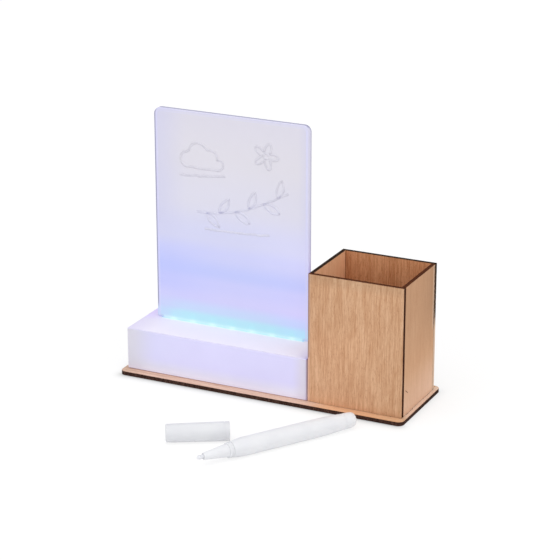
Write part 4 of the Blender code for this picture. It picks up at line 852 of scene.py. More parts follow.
def shell_glow(finish, low, high, panel_low, panel_high):
    """The lamps' light in the cover: lilac faces, a cyan seam beside the slot, a lit slot; with
    painted light from above on the top, painted bounce from the plate, painted light on the lower
    right, the rear and the right end, and painted shade on the bevel.
    """
    x, y, z = finish.place
    top = finish.toward(2)
    side = 1 - top
    above_plate = z - low.z
    under_top = high.z - z
    ends = (x - low.x).over(0.0, GLOW_FROM_ENDS) * (high.x - x).over(0.0, GLOW_FROM_ENDS / 2)
    up = (above_plate / (high.z - low.z)).over(0.0, 0.4)
    glow = finish.mix(ends, END_GLOW, finish.mix(up, *FRONT_GLOW))
    glow = finish.mix(top, glow, finish.mix(ends, *TOP_GLOW_AND_LIGHT))
    beside_panel = (x - low.x).near(0.0, panel_low.x + LEFT_VIOLET_PAST - low.x)
    beside_panel = beside_panel * (panel_low.y - y).near(0.0, LEFT_VIOLET_AHEAD)
    glow = finish.touch(glow, top * beside_panel, LEFT_VIOLET)
    glow = finish.touch(glow, above_plate.near(0.0, PLATE_BOUNCE_HEIGHT) * side, PLATE_BOUNCE)
    lower_right = x.over(0.0, LOWER_RIGHT_TURN) * (1 - up) * above_plate.over(*LOWER_RIGHT_RISE)
    glow = finish.touch(glow, lower_right * side, LOWER_RIGHT_LIGHT)
    glow = finish.touch(glow, finish.toward(1), REAR_LIGHT)
    glow = finish.touch(glow, finish.toward(0), RIGHT_END_LIGHT)
    glow = finish.touch(glow, finish.facing[2].within(*BEVEL_FACING), BEVEL_SHADE)

    near_slot = (panel_low.y - y).most(y - panel_high.y).near(0.0, GLOW_FROM_SLOT)
    tab = x.within(panel_low.x + TAB_INSET, panel_high.x - TAB_INSET, TAB_SOFTNESS)
    waves = lamp_waves(finish, x)
    cyan = near_slot * near_slot * top * tab * waves.floored(0.6)
    glow = finish.touch(glow, cyan, SLOT_CYAN)
    in_slot = under_top.over(SLOT_WALL_DEPTH / 3, SLOT_WALL_DEPTH) * tab
    slot_band = y.within(panel_low.y - SLOT_GAP, panel_high.y + SLOT_GAP, SLOT_GAP_SOFTNESS)
    in_slot = in_slot * slot_band * under_top.near(*SLOT_LIT_DEPTH)
    return finish.mix(in_slot, glow, finish.mix(waves, *SLOT_GLOW))


def shell_finish():
    """Plain white cover, lilac where the lamps inside shine through, cyan beside the slot, with
    painted shade at its right end, on its end face and in the gap beside the holder.
    """
    low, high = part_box("housing_cover")
    finish = Finish("white shell", {"Specular IOR Level": 0.35, "Emission Strength": 1.0})
    top = finish.toward(2)
    side = 1 - top
    from_left = finish.x - low.x
    from_right = high.x - finish.x
    base = finish.mix(finish.noise(SHELL_PATCH, detail=2.0, shift=6.1), *SHELL_BASE)
    right_end = from_right.near(0.0, RIGHT_END_REACH) * top.floored(0.3)
    base = finish.touch(base, right_end, RIGHT_END_SHADE)
    base = finish.touch(base, from_right.near(*RIGHT_GAP_SHADE_REACH) * side, RIGHT_GAP_SHADE)
    base = finish.touch(base, finish.toward(0), END_FACE_SHADE)
    base = finish.touch(base, from_left.near(0.0, LEFT_GREEN_REACH) * side, LEFT_GREEN)
    grain = finish.noise(SHELL_GRAIN, detail=2.0, shift=2.2)
    finish.set(
        {
            "Base Color": base,
            "Emission Color": shell_glow(finish, low, high, *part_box("writing_panel")),
            "Roughness": 0.42 + 0.1 * grain,
        }
    )
    finish.bump(grain, SHELL_RELIEF, 0.2)
    return finish.material


# Finishes of the small and inner parts

def plain_finish(name, dark, light, roughness, patch, constants=None, relief=PLAIN_RELIEF):
    """A finish with soft tone patches and a fine surface grain."""
    finish = Finish(name, constants)
    tone = finish.noise(patch, detail=3.0, shift=1.1).over(0.3, 0.7)
    grain = finish.noise(patch / PLAIN_GRAIN_SHARE, detail=2.0, shift=4.7)
    finish.set(
        {
            "Base Color": finish.mix(tone, shade(*dark), shade(*light)),
            "Roughness": roughness - 0.05 + 0.1 * grain,
        }
    )
    finish.bump(grain, relief, 0.3)
    return finish.material


def marker_finish(name, dark, light):
    """Moulded white plastic with a satin skin."""
    return plain_finish(name, dark, light, 0.50, MARKER_SKIN_PATCH, {"Specular IOR Level": 0.3})


def nib_finish():
    """Pressed felt in two tones by its fibres."""
    finish = Finish("nib felt", {"Specular IOR Level": 0.1, "Sheen Weight": 0.3})
    fibre = finish.noise(FELT_FIBRE, detail=3.0, shift=3.3)
    tone = finish.mix(fibre.over(0.3, 0.7), *FELT_TONES)
    finish.set({"Base Color": tone, "Roughness": 0.85 + 0.1 * fibre})
    finish.bump(fibre, FELT_RELIEF, 0.6)
    return finish.material


def metal_finish(name, dark, light, roughness, streak_axis):
    """Metal with fine drawn lines along one axis."""
    finish = Finish(name, {"Metallic": 1.0})
    sizes = [METAL_LINE, METAL_LINE, METAL_LINE]
    sizes[streak_axis] = METAL_LINE_LENGTH
    lines = finish.noise(sizes, detail=3.0, shift=6.6)
    stain = finish.noise(METAL_STAIN, detail=2.0, shift=2.9).over(0.3, 0.7)
    finish.set(
        {
            "Base Color": finish.mix(stain, shade(*dark), shade(*light)),
            "Roughness": roughness + 0.12 * lines,
        }
    )
    finish.bump(lines, METAL_RELIEF, 0.3)
    return finish.material


def lamp_finish():
    """White lamp body with a lit well in its top."""
    finish = Finish("lamp body", {"Emission Strength": 1.0})
    low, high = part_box(lamp_names()[0])
    beside = abs(finish.y - (low.y + high.y) / 2)
    well = beside.near(*LAMP_WELL) * finish.z.over(high.z - LAMP_WELL_DEPTH, high.z)
    tone = finish.noise(LAMP_GRAIN, detail=2.0, shift=3.9)
    finish.set(
        {
            "Base Color": finish.mix(tone, *LAMP_TONES),
            "Emission Color": finish.mix(well, *LAMP_GLOW),
            "Roughness": 0.32 + 0.1 * tone,
        }
    )
    return finish.material


def phosphor_finish():
    """The lit face inside a lamp."""
    finish = Finish("lamp phosphor", {"Emission Strength": 2.0})
    grit = finish.noise(PHOSPHOR_GRIT, detail=2.0, shift=5.5)
    finish.set(
        {
            "Base Color": finish.mix(grit, *PHOSPHOR_TONES),
            "Emission Color": finish.mix(grit, *PHOSPHOR_GLOW),
            "Roughness": 0.5 + 0.2 * grit,
        }
    )
    return finish.material


def circuit_finish():
    """Green lacquer over traces."""
    finish = Finish("circuit lacquer", {"Coat Weight": 0.4, "Coat Roughness": 0.15})
    wave = finish.math("SINE", finish.x * (math.tau / TRACE_PITCH))
    lanes = (0.5 + 0.5 * wave).over(0.55, 0.75)
    trace = lanes * finish.noise(TRACE_AREA, detail=1.0, shift=3.7).over(0.48, 0.5)
    tone = finish.mix(trace, *CIRCUIT_TONES)
    finish.set({"Base Color": tone, "Roughness": 0.45 - 0.1 * trace})
    finish.bump(trace, TRACE_RELIEF, 0.5)
    return finish.material


def ink_finish():
    """Grey-blue marker ink that has dried unevenly on the lit panel."""
    finish = Finish("grey blue ink", {"Specular IOR Level": 0.3, "Emission Strength": 1.0})
    dry = finish.noise(INK_DRY_PATCH, detail=3.0, shift=2.6).over(0.35, 0.68)
    pale = finish.noise(INK_PALE_PATCH, detail=1.0, shift=0.7).over(0.35, 0.65)
    bare_and_glints = 0.55 * dry + 0.45 * pale
    light = finish.mix(finish.z.over(*INK_HEIGHTS), *INK_GLOW)
    finish.set(
        {
            "Base Color": finish.mix(bare_and_glints, *INK_BASE),
            "Emission Color": finish.touch(light, bare_and_glints, INK_WORN),
            "Roughness": 0.5 + 0.2 * dry,
        }
    )
    return finish.material


def inner_finishes():
    """The plain inner parts: name, dark and light tone, roughness, patch, nodes and extras."""
    table = (
        ("black epoxy", (20, 20, 22), (34, 34, 37), 0.48, 2 * MM,
         ("driver_chip", "driver_coil", "usb_tongue", "switch_body")),
        ("white inner plastic", (222, 222, 222), (232, 232, 231), 0.48, 8 * MM,
         ("housing_tray", "led_rail"), {"Specular IOR Level": 0.4}),
        ("red lead", (176, 28, 24), (200, 42, 34), 0.42, 3 * MM,
         ("led_lead_positive", "cell_lead_positive")),
        ("black lead", (26, 26, 28), (44, 44, 46), 0.42, 3 * MM,
         ("led_lead_negative", "cell_lead_negative")),
        ("strip film", (228, 228, 222), (240, 240, 236), 0.42, 5 * MM, ("led_strip",)),
        ("cell foil", (176, 182, 190), (200, 205, 212), 0.34, 6 * MM,
         ("battery_cell",), {"Metallic": 0.6}),
        ("grey foam", (70, 70, 72), (98, 98, 100), 0.9, 1.2 * MM,
         ("battery_pad",), None, 0.2 * MM),
        ("reservoir fibre", (120, 124, 142), (150, 154, 170), 0.92, 0.8 * MM,
         ("marker_reservoir",), None, 0.1 * MM),
    )
    finishes = {}
    for name, dark, light, roughness, patch, nodes, *extras in table:
        material = plain_finish(name, dark, light, roughness, patch, *extras)
        finishes.update(dict.fromkeys(nodes, material))
    return finishes


def dress_nodes():
    """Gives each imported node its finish."""
    finishes = {
        "base_plate": plate_finish(),
        "housing_cover": shell_finish(),
        "writing_panel": panel_finish(),
        "control_board": circuit_finish(),
        "usb_socket": metal_finish("socket steel", (170, 171, 176), (204, 205, 210), 0.26, 1),
    }
    finishes.update(holder_finishes())
    finishes.update(inner_finishes())
    finishes.update(dict.fromkeys(lamp_names(), lamp_finish()))
    zinc = metal_finish("zinc plate", (176, 178, 184), (206, 208, 214), 0.30, 2)
    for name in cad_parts:
        if name.startswith(("housing_screw", "board_screw")):
            finishes[name] = zinc
    for name, material in finishes.items():
        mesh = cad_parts[name].data
        mesh.materials.clear()
        mesh.materials.append(material)


# Turned pieces

def in_scene(thing):
    """Adds an object to the scene and hands it back."""
    bpy.context.scene.collection.objects.link(thing)
    return thing


def settle(piece, body, slot, *nodes):
    """Puts a finished piece on its body and hides the nodes it stands for; its slot is not used."""
    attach(piece, body)
    if nodes:
        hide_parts(*nodes)


def in_order(shape):
    """A shape's points, loose edges and faces, the faces in an order that no run changes."""
    shape.verts.index_update()
    faces = []
    for face in shape.faces:
        corners = [corner.index for corner in face.verts]
        first = corners.index(min(corners))
        faces.append(corners[first:] + corners[:first])
    return [corner.co[:] for corner in shape.verts], [], sorted(faces)


class Spindle:
    """The axis of a turned piece, and a measure of the nodes that share it."""

    def __init__(self, origin, direction):
        self.origin = origin
        self.direction = direction

    @classmethod
    def lying(cls, origin, turn):
        return cls(origin, Vector((math.cos(turn), math.sin(turn), 0)))

    def span(self, node):
        """Where a node starts and ends along the axis, and its greatest radius."""
        places = []
        radii = []
        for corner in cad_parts[node].data.vertices:
            offset = corner.co - self.origin
            along = offset.dot(self.direction)
            places.append(along)
            radii.append((offset - self.direction * along).length)
        return min(places), max(places), max(radii)

    def turned(self, name, profile, material, closed=False):
        """Spins a profile of (place along, radius) points round the axis."""
        shape = bmesh.new()
        rims = [shape.verts.new((along, 0, radius)) for along, radius in profile]
        pairs = list(zip(rims, rims[1:]))
        if closed:
            pairs.append((rims[-1], rims[0]))
        lines = [shape.edges.new(pair) for pair in pairs]
        bmesh.ops.spin(
            shape,
            geom=rims + lines,
            cent=(0, 0, 0),
            axis=(1, 0, 0),
            angle=math.tau,
            steps=TURN_STEPS,
            use_merge=True,
        )
        bmesh.ops.remove_doubles(shape, verts=shape.verts[:], dist=WELD)
        bmesh.ops.recalc_face_normals(shape, faces=shape.faces[:])
        turn = Vector((1, 0, 0)).rotation_difference(self.direction).to_matrix().to_4x4()
        matrix = Matrix.Translation(self.origin) @ turn
        bmesh.ops.transform(shape, matrix=matrix, verts=shape.verts[:])
        mesh = bpy.data.meshes.new(name)
        mesh.from_pydata(*in_order(shape))
        shape.free()
        mesh.materials.append(material)
        mesh.shade_smooth()
        mesh.set_sharp_from_angle(angle=SHARP_ANGLE)
        return in_scene(bpy.data.objects.new(name, mesh))


def eased(start, end, rise, steps=12):
    """Points from one (place, radius) to another, whose radius follows a rise from 0 to 1."""
    points = []
    for step in range(steps + 1):
        share = step / steps
        along = start[0] + (end[0] - start[0]) * share
        points.append((along, start[1] + (end[1] - start[1]) * rise(share)))
    return points


def rounding(centre, radius, start, end, steps=5):
    """Points of a round edge between two angles in degrees."""
    points = []
    for step in range(steps + 1):
        angle = math.radians(start + (end - start) * step / steps)
        points.append((centre[0] + radius * math.cos(angle), centre[1] + radius * math.sin(angle)))
    return points


def shoulder(share):
    """A rise that is quick at first and levels out."""
    return math.sin(share * math.pi / 2)


def steady(share):
    """An even rise."""
    return share


def draw_in(share):
    """A rise that is slow at first."""
    return share**2


def marker_barrel(spindle, plastic):
    """The barrel: a rounded shoulder at its nose, a long taper to its tail, a stepped bore."""
    start, end, radius = spindle.span("marker_barrel")
    end += PLUG_SEAM
    tail = end - EDGE_BREAK / 2
    profile = [(start, MARKER_NOSE_BORE)]
    lip = (start + EDGE_BREAK, MARKER_NOSE_RADIUS - EDGE_BREAK)
    profile += rounding(lip, EDGE_BREAK, 180, 90, steps=3)
    profile += eased(
        (start + 2 * EDGE_BREAK, MARKER_NOSE_RADIUS + EDGE_BREAK / 2),
        (start + MARKER_NOSE_LENGTH, radius),
        shoulder,
        steps=16,
    )
    taper_start = (end - MARKER_TAPER_LENGTH, radius)
    profile += eased(taper_start, (tail, MARKER_TAIL_RADIUS), draw_in, steps=16)
    profile += rounding((tail, MARKER_TAIL_RADIUS - EDGE_BREAK / 2), EDGE_BREAK / 2, 80, 0, steps=3)
    profile += [
        (end, MARKER_BARREL_BORE),
        (start + MARKER_BORE_STEP, MARKER_BARREL_BORE),
        (start + MARKER_BORE_STEP, MARKER_NOSE_BORE),
    ]
    barrel = spindle.turned("turned_barrel", profile, plastic, closed=True)
    settle(barrel, "marker", "marker_white", "marker_barrel")


def marker_section(spindle, plastic):
    """The cone that holds the nib, its grooved collar and its spigot."""
    start, end, radius = spindle.span("marker_section")
    collar_end = end - SECTION_SPIGOT_LENGTH
    root = collar_end - SECTION_COLLAR_LENGTH
    groove = SECTION_COLLAR_LENGTH / 3
    groove_floor = radius - GROOVE_DEPTH
    lip = 2 * EDGE_BREAK
    profile = [(start, SECTION_BORE)]
    profile += rounding((start + lip, SECTION_NOSE_RADIUS - lip), lip, 180, 100)
    cone_start = (start + 3 * EDGE_BREAK, SECTION_NOSE_RADIUS)
    profile += eased(cone_start, (root, SECTION_ROOT_RADIUS), steady)
    profile += rounding((root + EDGE_BREAK, radius - EDGE_BREAK), EDGE_BREAK, 180, 90, steps=3)
    profile += [
        (root + groove, radius),
        (root + groove, groove_floor),
        (root + 2 * groove, groove_floor),
        (root + 2 * groove, radius),
        (collar_end, radius),
        (collar_end, SECTION_SPIGOT_RADIUS),
        (end, SECTION_SPIGOT_RADIUS),
        (end, SECTION_BORE),
    ]
    section = spindle.turned("turned_section", profile, plastic, closed=True)
    settle(section, "marker", "marker_white", "marker_section")


def marker_nib(spindle):
    """The felt point, rounded at its tip."""
    start, end, radius = spindle.span("marker_nib")
    point = NIB_POINT_RADIUS / 2
    profile = [(start, 0)]
    profile += rounding((start + point, NIB_POINT_RADIUS - point), point, 180, 110, steps=3)
    root = (start + NIB_POINT_LENGTH, radius)
    profile += eased((start + point, NIB_POINT_RADIUS), root, shoulder)
    profile += [(end, radius), (end, 0)]
    nib = spindle.turned("turned_nib", profile, nib_finish())
    settle(nib, "marker", "nib_felt", "marker_nib")


def marker_plug(spindle, plastic):
    """The domed plug in the barrel's tail."""
    start, end, radius = spindle.span("marker_tail_plug")
    seat = start + PLUG_SPIGOT_LENGTH
    profile = [(start, 0), (start, PLUG_SPIGOT_RADIUS), (seat, PLUG_SPIGOT_RADIUS)]
    for along, reach in rounding((0, 0), 1, 90, 0, steps=20):
        along = seat + (end - seat) * along**PLUG_BLUNTNESS
        reach = PLUG_END_RADIUS + (radius - PLUG_END_RADIUS) * reach**PLUG_BLUNTNESS
        profile.append((along, reach))
    profile.append((end, 0))
    plug = spindle.turned("turned_plug", profile, plastic)
    settle(plug, "marker", "marker_white", "marker_tail_plug")


def marker_cap(plastic):
    """The cap: slightly conical, with a fine ring near its mouth and a stepped bore."""
    spindle = Spindle.lying(CAP_CLOSED_END, CAP_TURN)
    start, end, radius = spindle.span("marker_cap")
    ring_end = end - CAP_RING_PLACE
    ring_start = ring_end - CAP_RING_WIDTH
    ring_floor = radius - CAP_RING_DEPTH
    step = end - CAP_MOUTH_DEPTH
    profile = [(start, 0)]
    closed_end = (start + CAP_END_ROUND, CAP_END_RADIUS - CAP_END_ROUND)
    profile += rounding(closed_end, CAP_END_ROUND, 180, 90, steps=8)
    profile += [
        (ring_start, radius),
        (ring_start, ring_floor),
        (ring_end, ring_floor),
        (ring_end, radius),
    ]
    profile += rounding((end - EDGE_BREAK, radius - EDGE_BREAK), EDGE_BREAK, 90, 0, steps=4)
    profile += [
        (end, CAP_MOUTH_BORE),
        (step, CAP_MOUTH_BORE),
        (step - CAP_BORE_TAPER, CAP_BORE),
        (start + CAP_END_WALL, CAP_BORE),
        (start + CAP_END_WALL, 0),
    ]
    cap = spindle.turned("turned_cap", profile, plastic)
    settle(cap, "cap", "marker_white", "marker_cap")


def push_button():
    """The round button in the rear wall, with a dished face, a captive lip and a stem."""
    low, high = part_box("power_button")
    middle = (low + high) / 2
    spindle = Spindle(Vector((middle.x, 0, middle.z)), Vector((0, 1, 0)))
    start, end, lip_radius = spindle.span("power_button")
    lip_end = end - BUTTON_LIP_BACK
    lip_start = lip_end - BUTTON_LIP_THICKNESS
    rim = BUTTON_RADIUS - BUTTON_EDGE
    profile = [
        (start, 0),
        (start, BUTTON_STEM_RADIUS),
        (lip_start, BUTTON_STEM_RADIUS),
        (lip_start, lip_radius),
        (lip_end, lip_radius),
        (lip_end, BUTTON_RADIUS),
    ]
    profile += rounding((end - BUTTON_EDGE, rim), BUTTON_EDGE, 90, 0, steps=6)
    profile += eased((end - BUTTON_DISH / 6, rim * 0.9), (end - BUTTON_DISH, 0), shoulder)
    tones = ((186, 187, 192), (202, 203, 207))
    grey = plain_finish("grey button plastic", *tones, 0.5, BUTTON_SKIN_PATCH)
    button = spindle.turned("turned_button", profile, grey)
    settle(button, "button", "button_grey", "power_button")


# Pieces made with Geometry Nodes

class Maker(Tree):
    """A Geometry Nodes group that makes one mesh for a finished piece."""

    def __init__(self, name, inputs):
        super().__init__(bpy.data.node_groups.new(name, "GeometryNodeTree"))
        sockets = self.group.interface
        sockets.new_socket("Geometry", in_out="INPUT", socket_type="NodeSocketGeometry")
        for label, kind in {**inputs, "Material": "Material"}.items():
            sockets.new_socket(label, in_out="INPUT", socket_type="NodeSocket" + kind)
        sockets.new_socket("Geometry", in_out="OUTPUT", socket_type="NodeSocketGeometry")
        self.entry = self.group.nodes.new("NodeGroupInput")
        self.exit = self.group.nodes.new("NodeGroupOutput")

    def given(self, label):
        return Field(self, self.entry.outputs[label])

    def rectangle(self, width, height):
        sockets = {"Width": self.given(width), "Height": self.given(height)}
        return self.node("GeometryNodeCurvePrimitiveQuadrilateral", {"mode": "RECTANGLE"}, sockets)

    def finish(self, geometry):
        """Realizes what was instanced and hands it over in the given material."""
        real = self.node("GeometryNodeRealizeInstances", None, {"Geometry": geometry})
        sockets = {"Geometry": real, "Material": self.given("Material")}
        self.feed(self.exit.inputs[0], self.node("GeometryNodeSetMaterial", None, sockets))

    def baked(self, name, source, values):
        """Runs the group on an object and returns its result as a plain mesh object."""
        carrier = in_scene(source)
        modifier = carrier.modifiers.new("maker", "NODES")
        modifier.node_group = self.group
        for item in self.group.interface.items_tree:
            if item.in_out == "INPUT" and item.name in values:
                modifier[item.identifier] = values[item.name]
        bpy.context.view_layer.update()
        seen = carrier.evaluated_get(bpy.context.evaluated_depsgraph_get())
        mesh = bpy.data.meshes.new_from_object(seen)
        mesh.name = name
        bpy.data.objects.remove(carrier)
        return in_scene(bpy.data.objects.new(name, mesh))


def stroke_maker():
    """Turns drawn lines into thin closed ribbons whose width wavers as a pen's does."""
    labels = ("Width", "Thickness", "Step", "End taper", "Waver size", "Hand waver")
    maker = Maker("pen strokes", dict.fromkeys(labels, "Float"))
    line = maker.node(
        "GeometryNodeResampleCurve",
        {"mode": "LENGTH"},
        {"Curve": maker.given("Geometry"), "Length": maker.given("Step")},
    )
    along = maker.node("GeometryNodeSplineParameter", output="Length")
    to_end = along.least(maker.node("GeometryNodeSplineLength") - along)
    cyclic = maker.node("GeometryNodeInputSplineCyclic")
    tip = (to_end / maker.given("End taper")).least(1.0).most(cyclic)

    def waver(detail, output):
        place = maker.node("GeometryNodeInputPosition")
        sockets = {"Vector": place, "Scale": maker.given("Waver size"), "Detail": detail}
        return maker.node("ShaderNodeTexNoise", None, sockets, output)

    def moved(operation, sockets):
        return maker.node("ShaderNodeVectorMath", {"operation": operation}, sockets)

    width = tip.floored(INK_END_SHARE) * (waver(1.0, 0) * INK_SWELL + INK_THINNEST)
    drift = moved("SUBTRACT", {0: waver(2.0, 1), 1: (0.5, 0.5, 0.5)})
    drift = moved("MULTIPLY", {0: drift, 1: (1, 0, 1)})
    drift = moved("SCALE", {0: drift, "Scale": maker.given("Hand waver")})
    line = maker.node("GeometryNodeSetPosition", None, {"Geometry": line, "Offset": drift})
    line = maker.node("GeometryNodeSetCurveRadius", None, {"Curve": line, "Radius": width})
    forward = {"Curve": line, "Normal": (0, 1, 0)}
    line = maker.node("GeometryNodeSetCurveNormal", {"mode": "FREE"}, forward)
    section = maker.rectangle("Thickness", "Width")
    sockets = {"Curve": line, "Profile Curve": section, "Fill Caps": True}
    maker.finish(maker.node("GeometryNodeCurveToMesh", None, sockets))
    return maker


def cloud_line():
    """The cloud's outline, with one arc for each puff."""
    points = []
    for x, z, radius, start, end in CLOUD_PUFFS:
        points += rounding((x, z), radius, start, end, steps=12)
    return points


def flower_line():
    """A closed line that swings out once for each petal."""
    x, z = FLOWER_MIDDLE
    points = []
    for step in range(FLOWER_POINTS):
        angle = math.tau * step / FLOWER_POINTS
        reach = FLOWER_REACH + FLOWER_WAVE * math.cos(FLOWER_PETALS * angle)
        points.append((x + reach * math.cos(angle), z + reach * math.sin(angle)))
    return points


def smooth_line(corners, steps=14):
    """A smooth line of a cubic's four corners."""
    first, second, third, fourth = [Vector(corner) for corner in corners]
    points = []
    for step in range(steps + 1):
        share = step / steps
        keep = 1 - share
        place = first * keep**3 + second * (3 * keep**2 * share)
        place += third * (3 * keep * share**2) + fourth * share**3
        points.append(tuple(place))
    return points


def leaf_line(root, direction):
    """A pointed leaf that starts and ends at its root."""
    across = Vector((-direction.y, direction.x))
    points = []
    for step in range(-LEAF_STEPS, LEAF_STEPS + 1):
        share = abs(step) / LEAF_STEPS
        swell = math.sin(math.pi * share) ** LEAF_FULLNESS
        side = math.copysign(LEAF_WIDTH / 2, step)
        ahead = direction * (LEAF_LENGTH * (1 - share))
        points.append(tuple(root + ahead + across * (swell * side)))
    return points


def branch_lines():
    """A stem with leaves that lean to one side and the other by turns."""
    stem = smooth_line(STEM, STEM_STEPS)
    lines = [stem]
    for order, share in enumerate(LEAF_SHARES):
        index = round(share * STEM_STEPS)
        root = Vector(stem[index])
        ahead = (Vector(stem[min(index + 1, STEM_STEPS)]) - Vector(stem[index - 1])).normalized()
        lean = LEAF_LEAN if order % 2 else -LEAF_LEAN
        lines.append(leaf_line(root, Matrix.Rotation(lean, 2) @ ahead))
    return lines


def pen_strokes():
    """A cloud, a flower and a leafy branch, drawn by hand on the panel's face."""
    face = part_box("writing_panel")[0].y - INK_CLEARANCE - INK_THICKNESS
    closed = [cloud_line(), flower_line()]
    eye = rounding(FLOWER_MIDDLE, FLOWER_EYE, 0, FLOWER_EYE_SWEEP, steps=16)
    open_lines = [smooth_line(CLOUD_UNDERLINE), eye, smooth_line(STEM_UNDERLINE)] + branch_lines()
    drawing = bpy.data.curves.new("pen strokes", "CURVE")
    drawing.dimensions = "3D"
    for line in closed + open_lines:
        spline = drawing.splines.new("POLY")
        spline.points.add(len(line) - 1)
        for point, (x, z) in zip(spline.points, line):
            point.co = (x * MM, face, z * MM, 1)
        spline.use_cyclic_u = line in closed
    values = {
        "Width": INK_WIDTH,
        "Thickness": INK_THICKNESS,
        "Step": INK_STEP,
        "End taper": INK_END_TAPER,
        "Waver size": 1 / INK_WAVER_PATCH,
        "Hand waver": INK_HAND_WAVER,
        "Material": ink_finish(),
    }
    source = bpy.data.objects.new("pen_lines", drawing)
    ink = stroke_maker().baked("pen_strokes", source, values)
    settle(ink, "panel", "frosted_acrylic")


def row_maker():
    """A row of small plates with rounded corners, each a closed body."""
    places = {"Start": "Vector", "Pitch": "Vector", "Count": "Int"}
    sizes = dict.fromkeys(("Length", "Width", "Height", "Corner"), "Float")
    maker = Maker("row of small plates", {**places, **sizes})
    outline = maker.node(
        "GeometryNodeFilletCurve",
        {"mode": "POLY"},
        {
            "Curve": maker.rectangle("Length", "Width"),
            "Count": CORNER_STEPS,
            "Radius": maker.given("Corner"),
        },
    )
    sheet = maker.node("GeometryNodeFillCurve", {"mode": "NGONS"}, {"Curve": outline})
    raised = maker.node(
        "GeometryNodeExtrudeMesh",
        {"mode": "FACES"},
        {
            "Mesh": sheet,
            "Offset": (0, 0, 1),
            "Offset Scale": maker.given("Height"),
            "Individual": False,
        },
    )
    under = maker.node("GeometryNodeFlipFaces", None, {"Mesh": sheet})
    block = maker.node("GeometryNodeJoinGeometry", None, {"Geometry": [raised, under]})
    block = maker.node("GeometryNodeMergeByDistance", None, {"Geometry": block, "Distance": WELD})
    row = maker.node(
        "GeometryNodeMeshLine",
        {"mode": "OFFSET"},
        {
            "Count": maker.given("Count"),
            "Start Location": maker.given("Start"),
            "Offset": maker.given("Pitch"),
        },
    )
    sockets = {"Points": row, "Instance": block}
    maker.finish(maker.node("GeometryNodeInstanceOnPoints", None, sockets))
    return maker


def row_of_plates(maker, name, slot, start, pitch, count, size, material, corner=SMALL_CORNER):
    """Bakes one row of plates and settles it on the stand."""
    values = {
        "Start": start,
        "Pitch": pitch,
        "Count": count,
        "Length": size.x,
        "Width": size.y,
        "Height": size.z,
        "Corner": corner,
        "Material": material,
    }
    source = bpy.data.objects.new(name + "_row", bpy.data.meshes.new(name + "_row"))
    settle(maker.baked(name, source, values), "stand", slot)


def strip_parts(maker):
    """Resistors and solder pads between the lamps, and the lit face in each lamp."""
    lamps = lamp_places()
    pitch = Vector((lamps[1] - lamps[0], 0, 0))
    gaps = len(lamps) - 1
    strip_low, strip_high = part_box("led_strip")
    lamp_low, lamp_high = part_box(lamp_names()[0])
    middle = (strip_low.y + strip_high.y) / 2
    between = Vector((lamps[0] + pitch.x / 2, middle, strip_high.z))
    black = plain_finish("resistor black", (24, 24, 26), (42, 42, 45), 0.4, MM)
    tinned = metal_finish("tinned solder", (184, 186, 190), (214, 216, 218), 0.22, 0)
    row_of_plates(
        maker, "strip_resistors", "chip_black", between, pitch, gaps, RESISTOR_SIZE, black
    )
    for side, label in ((-1, "front"), (1, "rear")):
        start = between + Vector((0, side * PAD_SPREAD, 0))
        row_of_plates(maker, "strip_pads_" + label, "zinc", start, pitch, gaps, PAD_SIZE, tinned)
    start = Vector((lamps[0], (lamp_low.y + lamp_high.y) / 2, lamp_high.z - LAMP_RECESS))
    row_of_plates(
        maker,
        "lamp_faces",
        "lamp_body",
        start,
        pitch,
        len(lamps),
        PHOSPHOR_SIZE,
        phosphor_finish(),
        PHOSPHOR_CORNER,
    )


def socket_contacts(maker):
    """Gold contacts on both sides of the socket's tongue."""
    low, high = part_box("usb_tongue")
    middle = (low + high) / 2
    gold = metal_finish("gold contact", (212, 166, 74), (236, 198, 112), 0.2, 1)
    start_x = middle.x - CONTACT_PITCH * (CONTACT_COUNT - 1) / 2
    start_y = high.y - CONTACT_SIZE.y / 2 - CONTACT_INSET
    pitch = Vector((CONTACT_PITCH, 0, 0))
    for height, label in ((CONTACT_RISE, "upper"), (-CONTACT_RISE - CONTACT_SIZE.z, "lower")):
        start = Vector((start_x, start_y, middle.z + height))
        row_of_plates(
            maker, "contacts_" + label, "zinc", start, pitch, CONTACT_COUNT, CONTACT_SIZE, gold
        )


# Light, floor and camera

class Stage(Tree):
    """The node tree of the floor or the sky."""

    def __init__(self, owner, output):
        owner.use_nodes = True
        super().__init__(owner.node_tree)
        self.group.nodes.clear()
        self.output = self.group.nodes.new(output)

    def seen(self):
        """1 for what the camera sees straight, by reflection or through glass, else 0."""
        straight = self.node("ShaderNodeLightPath", output="Is Camera Ray")
        mirrored = self.node("ShaderNodeLightPath", output="Is Glossy Ray")
        through = self.node("ShaderNodeLightPath", output="Is Transmission Ray")
        return straight.most(mirrored).most(through)

    def glowing(self, share, strength):
        """A matt grey with a light of its own."""
        matt = self.node("ShaderNodeBsdfDiffuse", None, {"Color": (share, share, share)})
        own = self.node("ShaderNodeEmission", None, {"Strength": strength})
        return self.node("ShaderNodeAddShader", None, {0: matt, 1: own})

    def close(self, surface):
        self.feed(self.output.inputs["Surface"], surface)


def painted_plate_shadow(stage, place):
    """A painted contact shadow on the floor round the plate, deepest in front of it."""
    low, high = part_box("base_plate")
    spots = stage.parts(place)
    gaps = []
    for axis in range(2):
        before = (low[axis] + PLATE_CORNER) - spots[axis]
        after = spots[axis] - (high[axis] - PLATE_CORNER)
        gaps.append(before.most(after).most(0.0))
    reach = stage.math("SQRT", gaps[0] * gaps[0] + gaps[1] * gaps[1])
    away = (reach - PLATE_CORNER).most(0.0)
    fall = stage.math("EXPONENT", away / -FLOOR_SHADOW_REACH)
    ahead = before.most(0.0) / reach.most(MM / 10)
    return fall * ahead.floored(FLOOR_SHADOW_BESIDE) * FLOOR_SHADOW_DEPTH


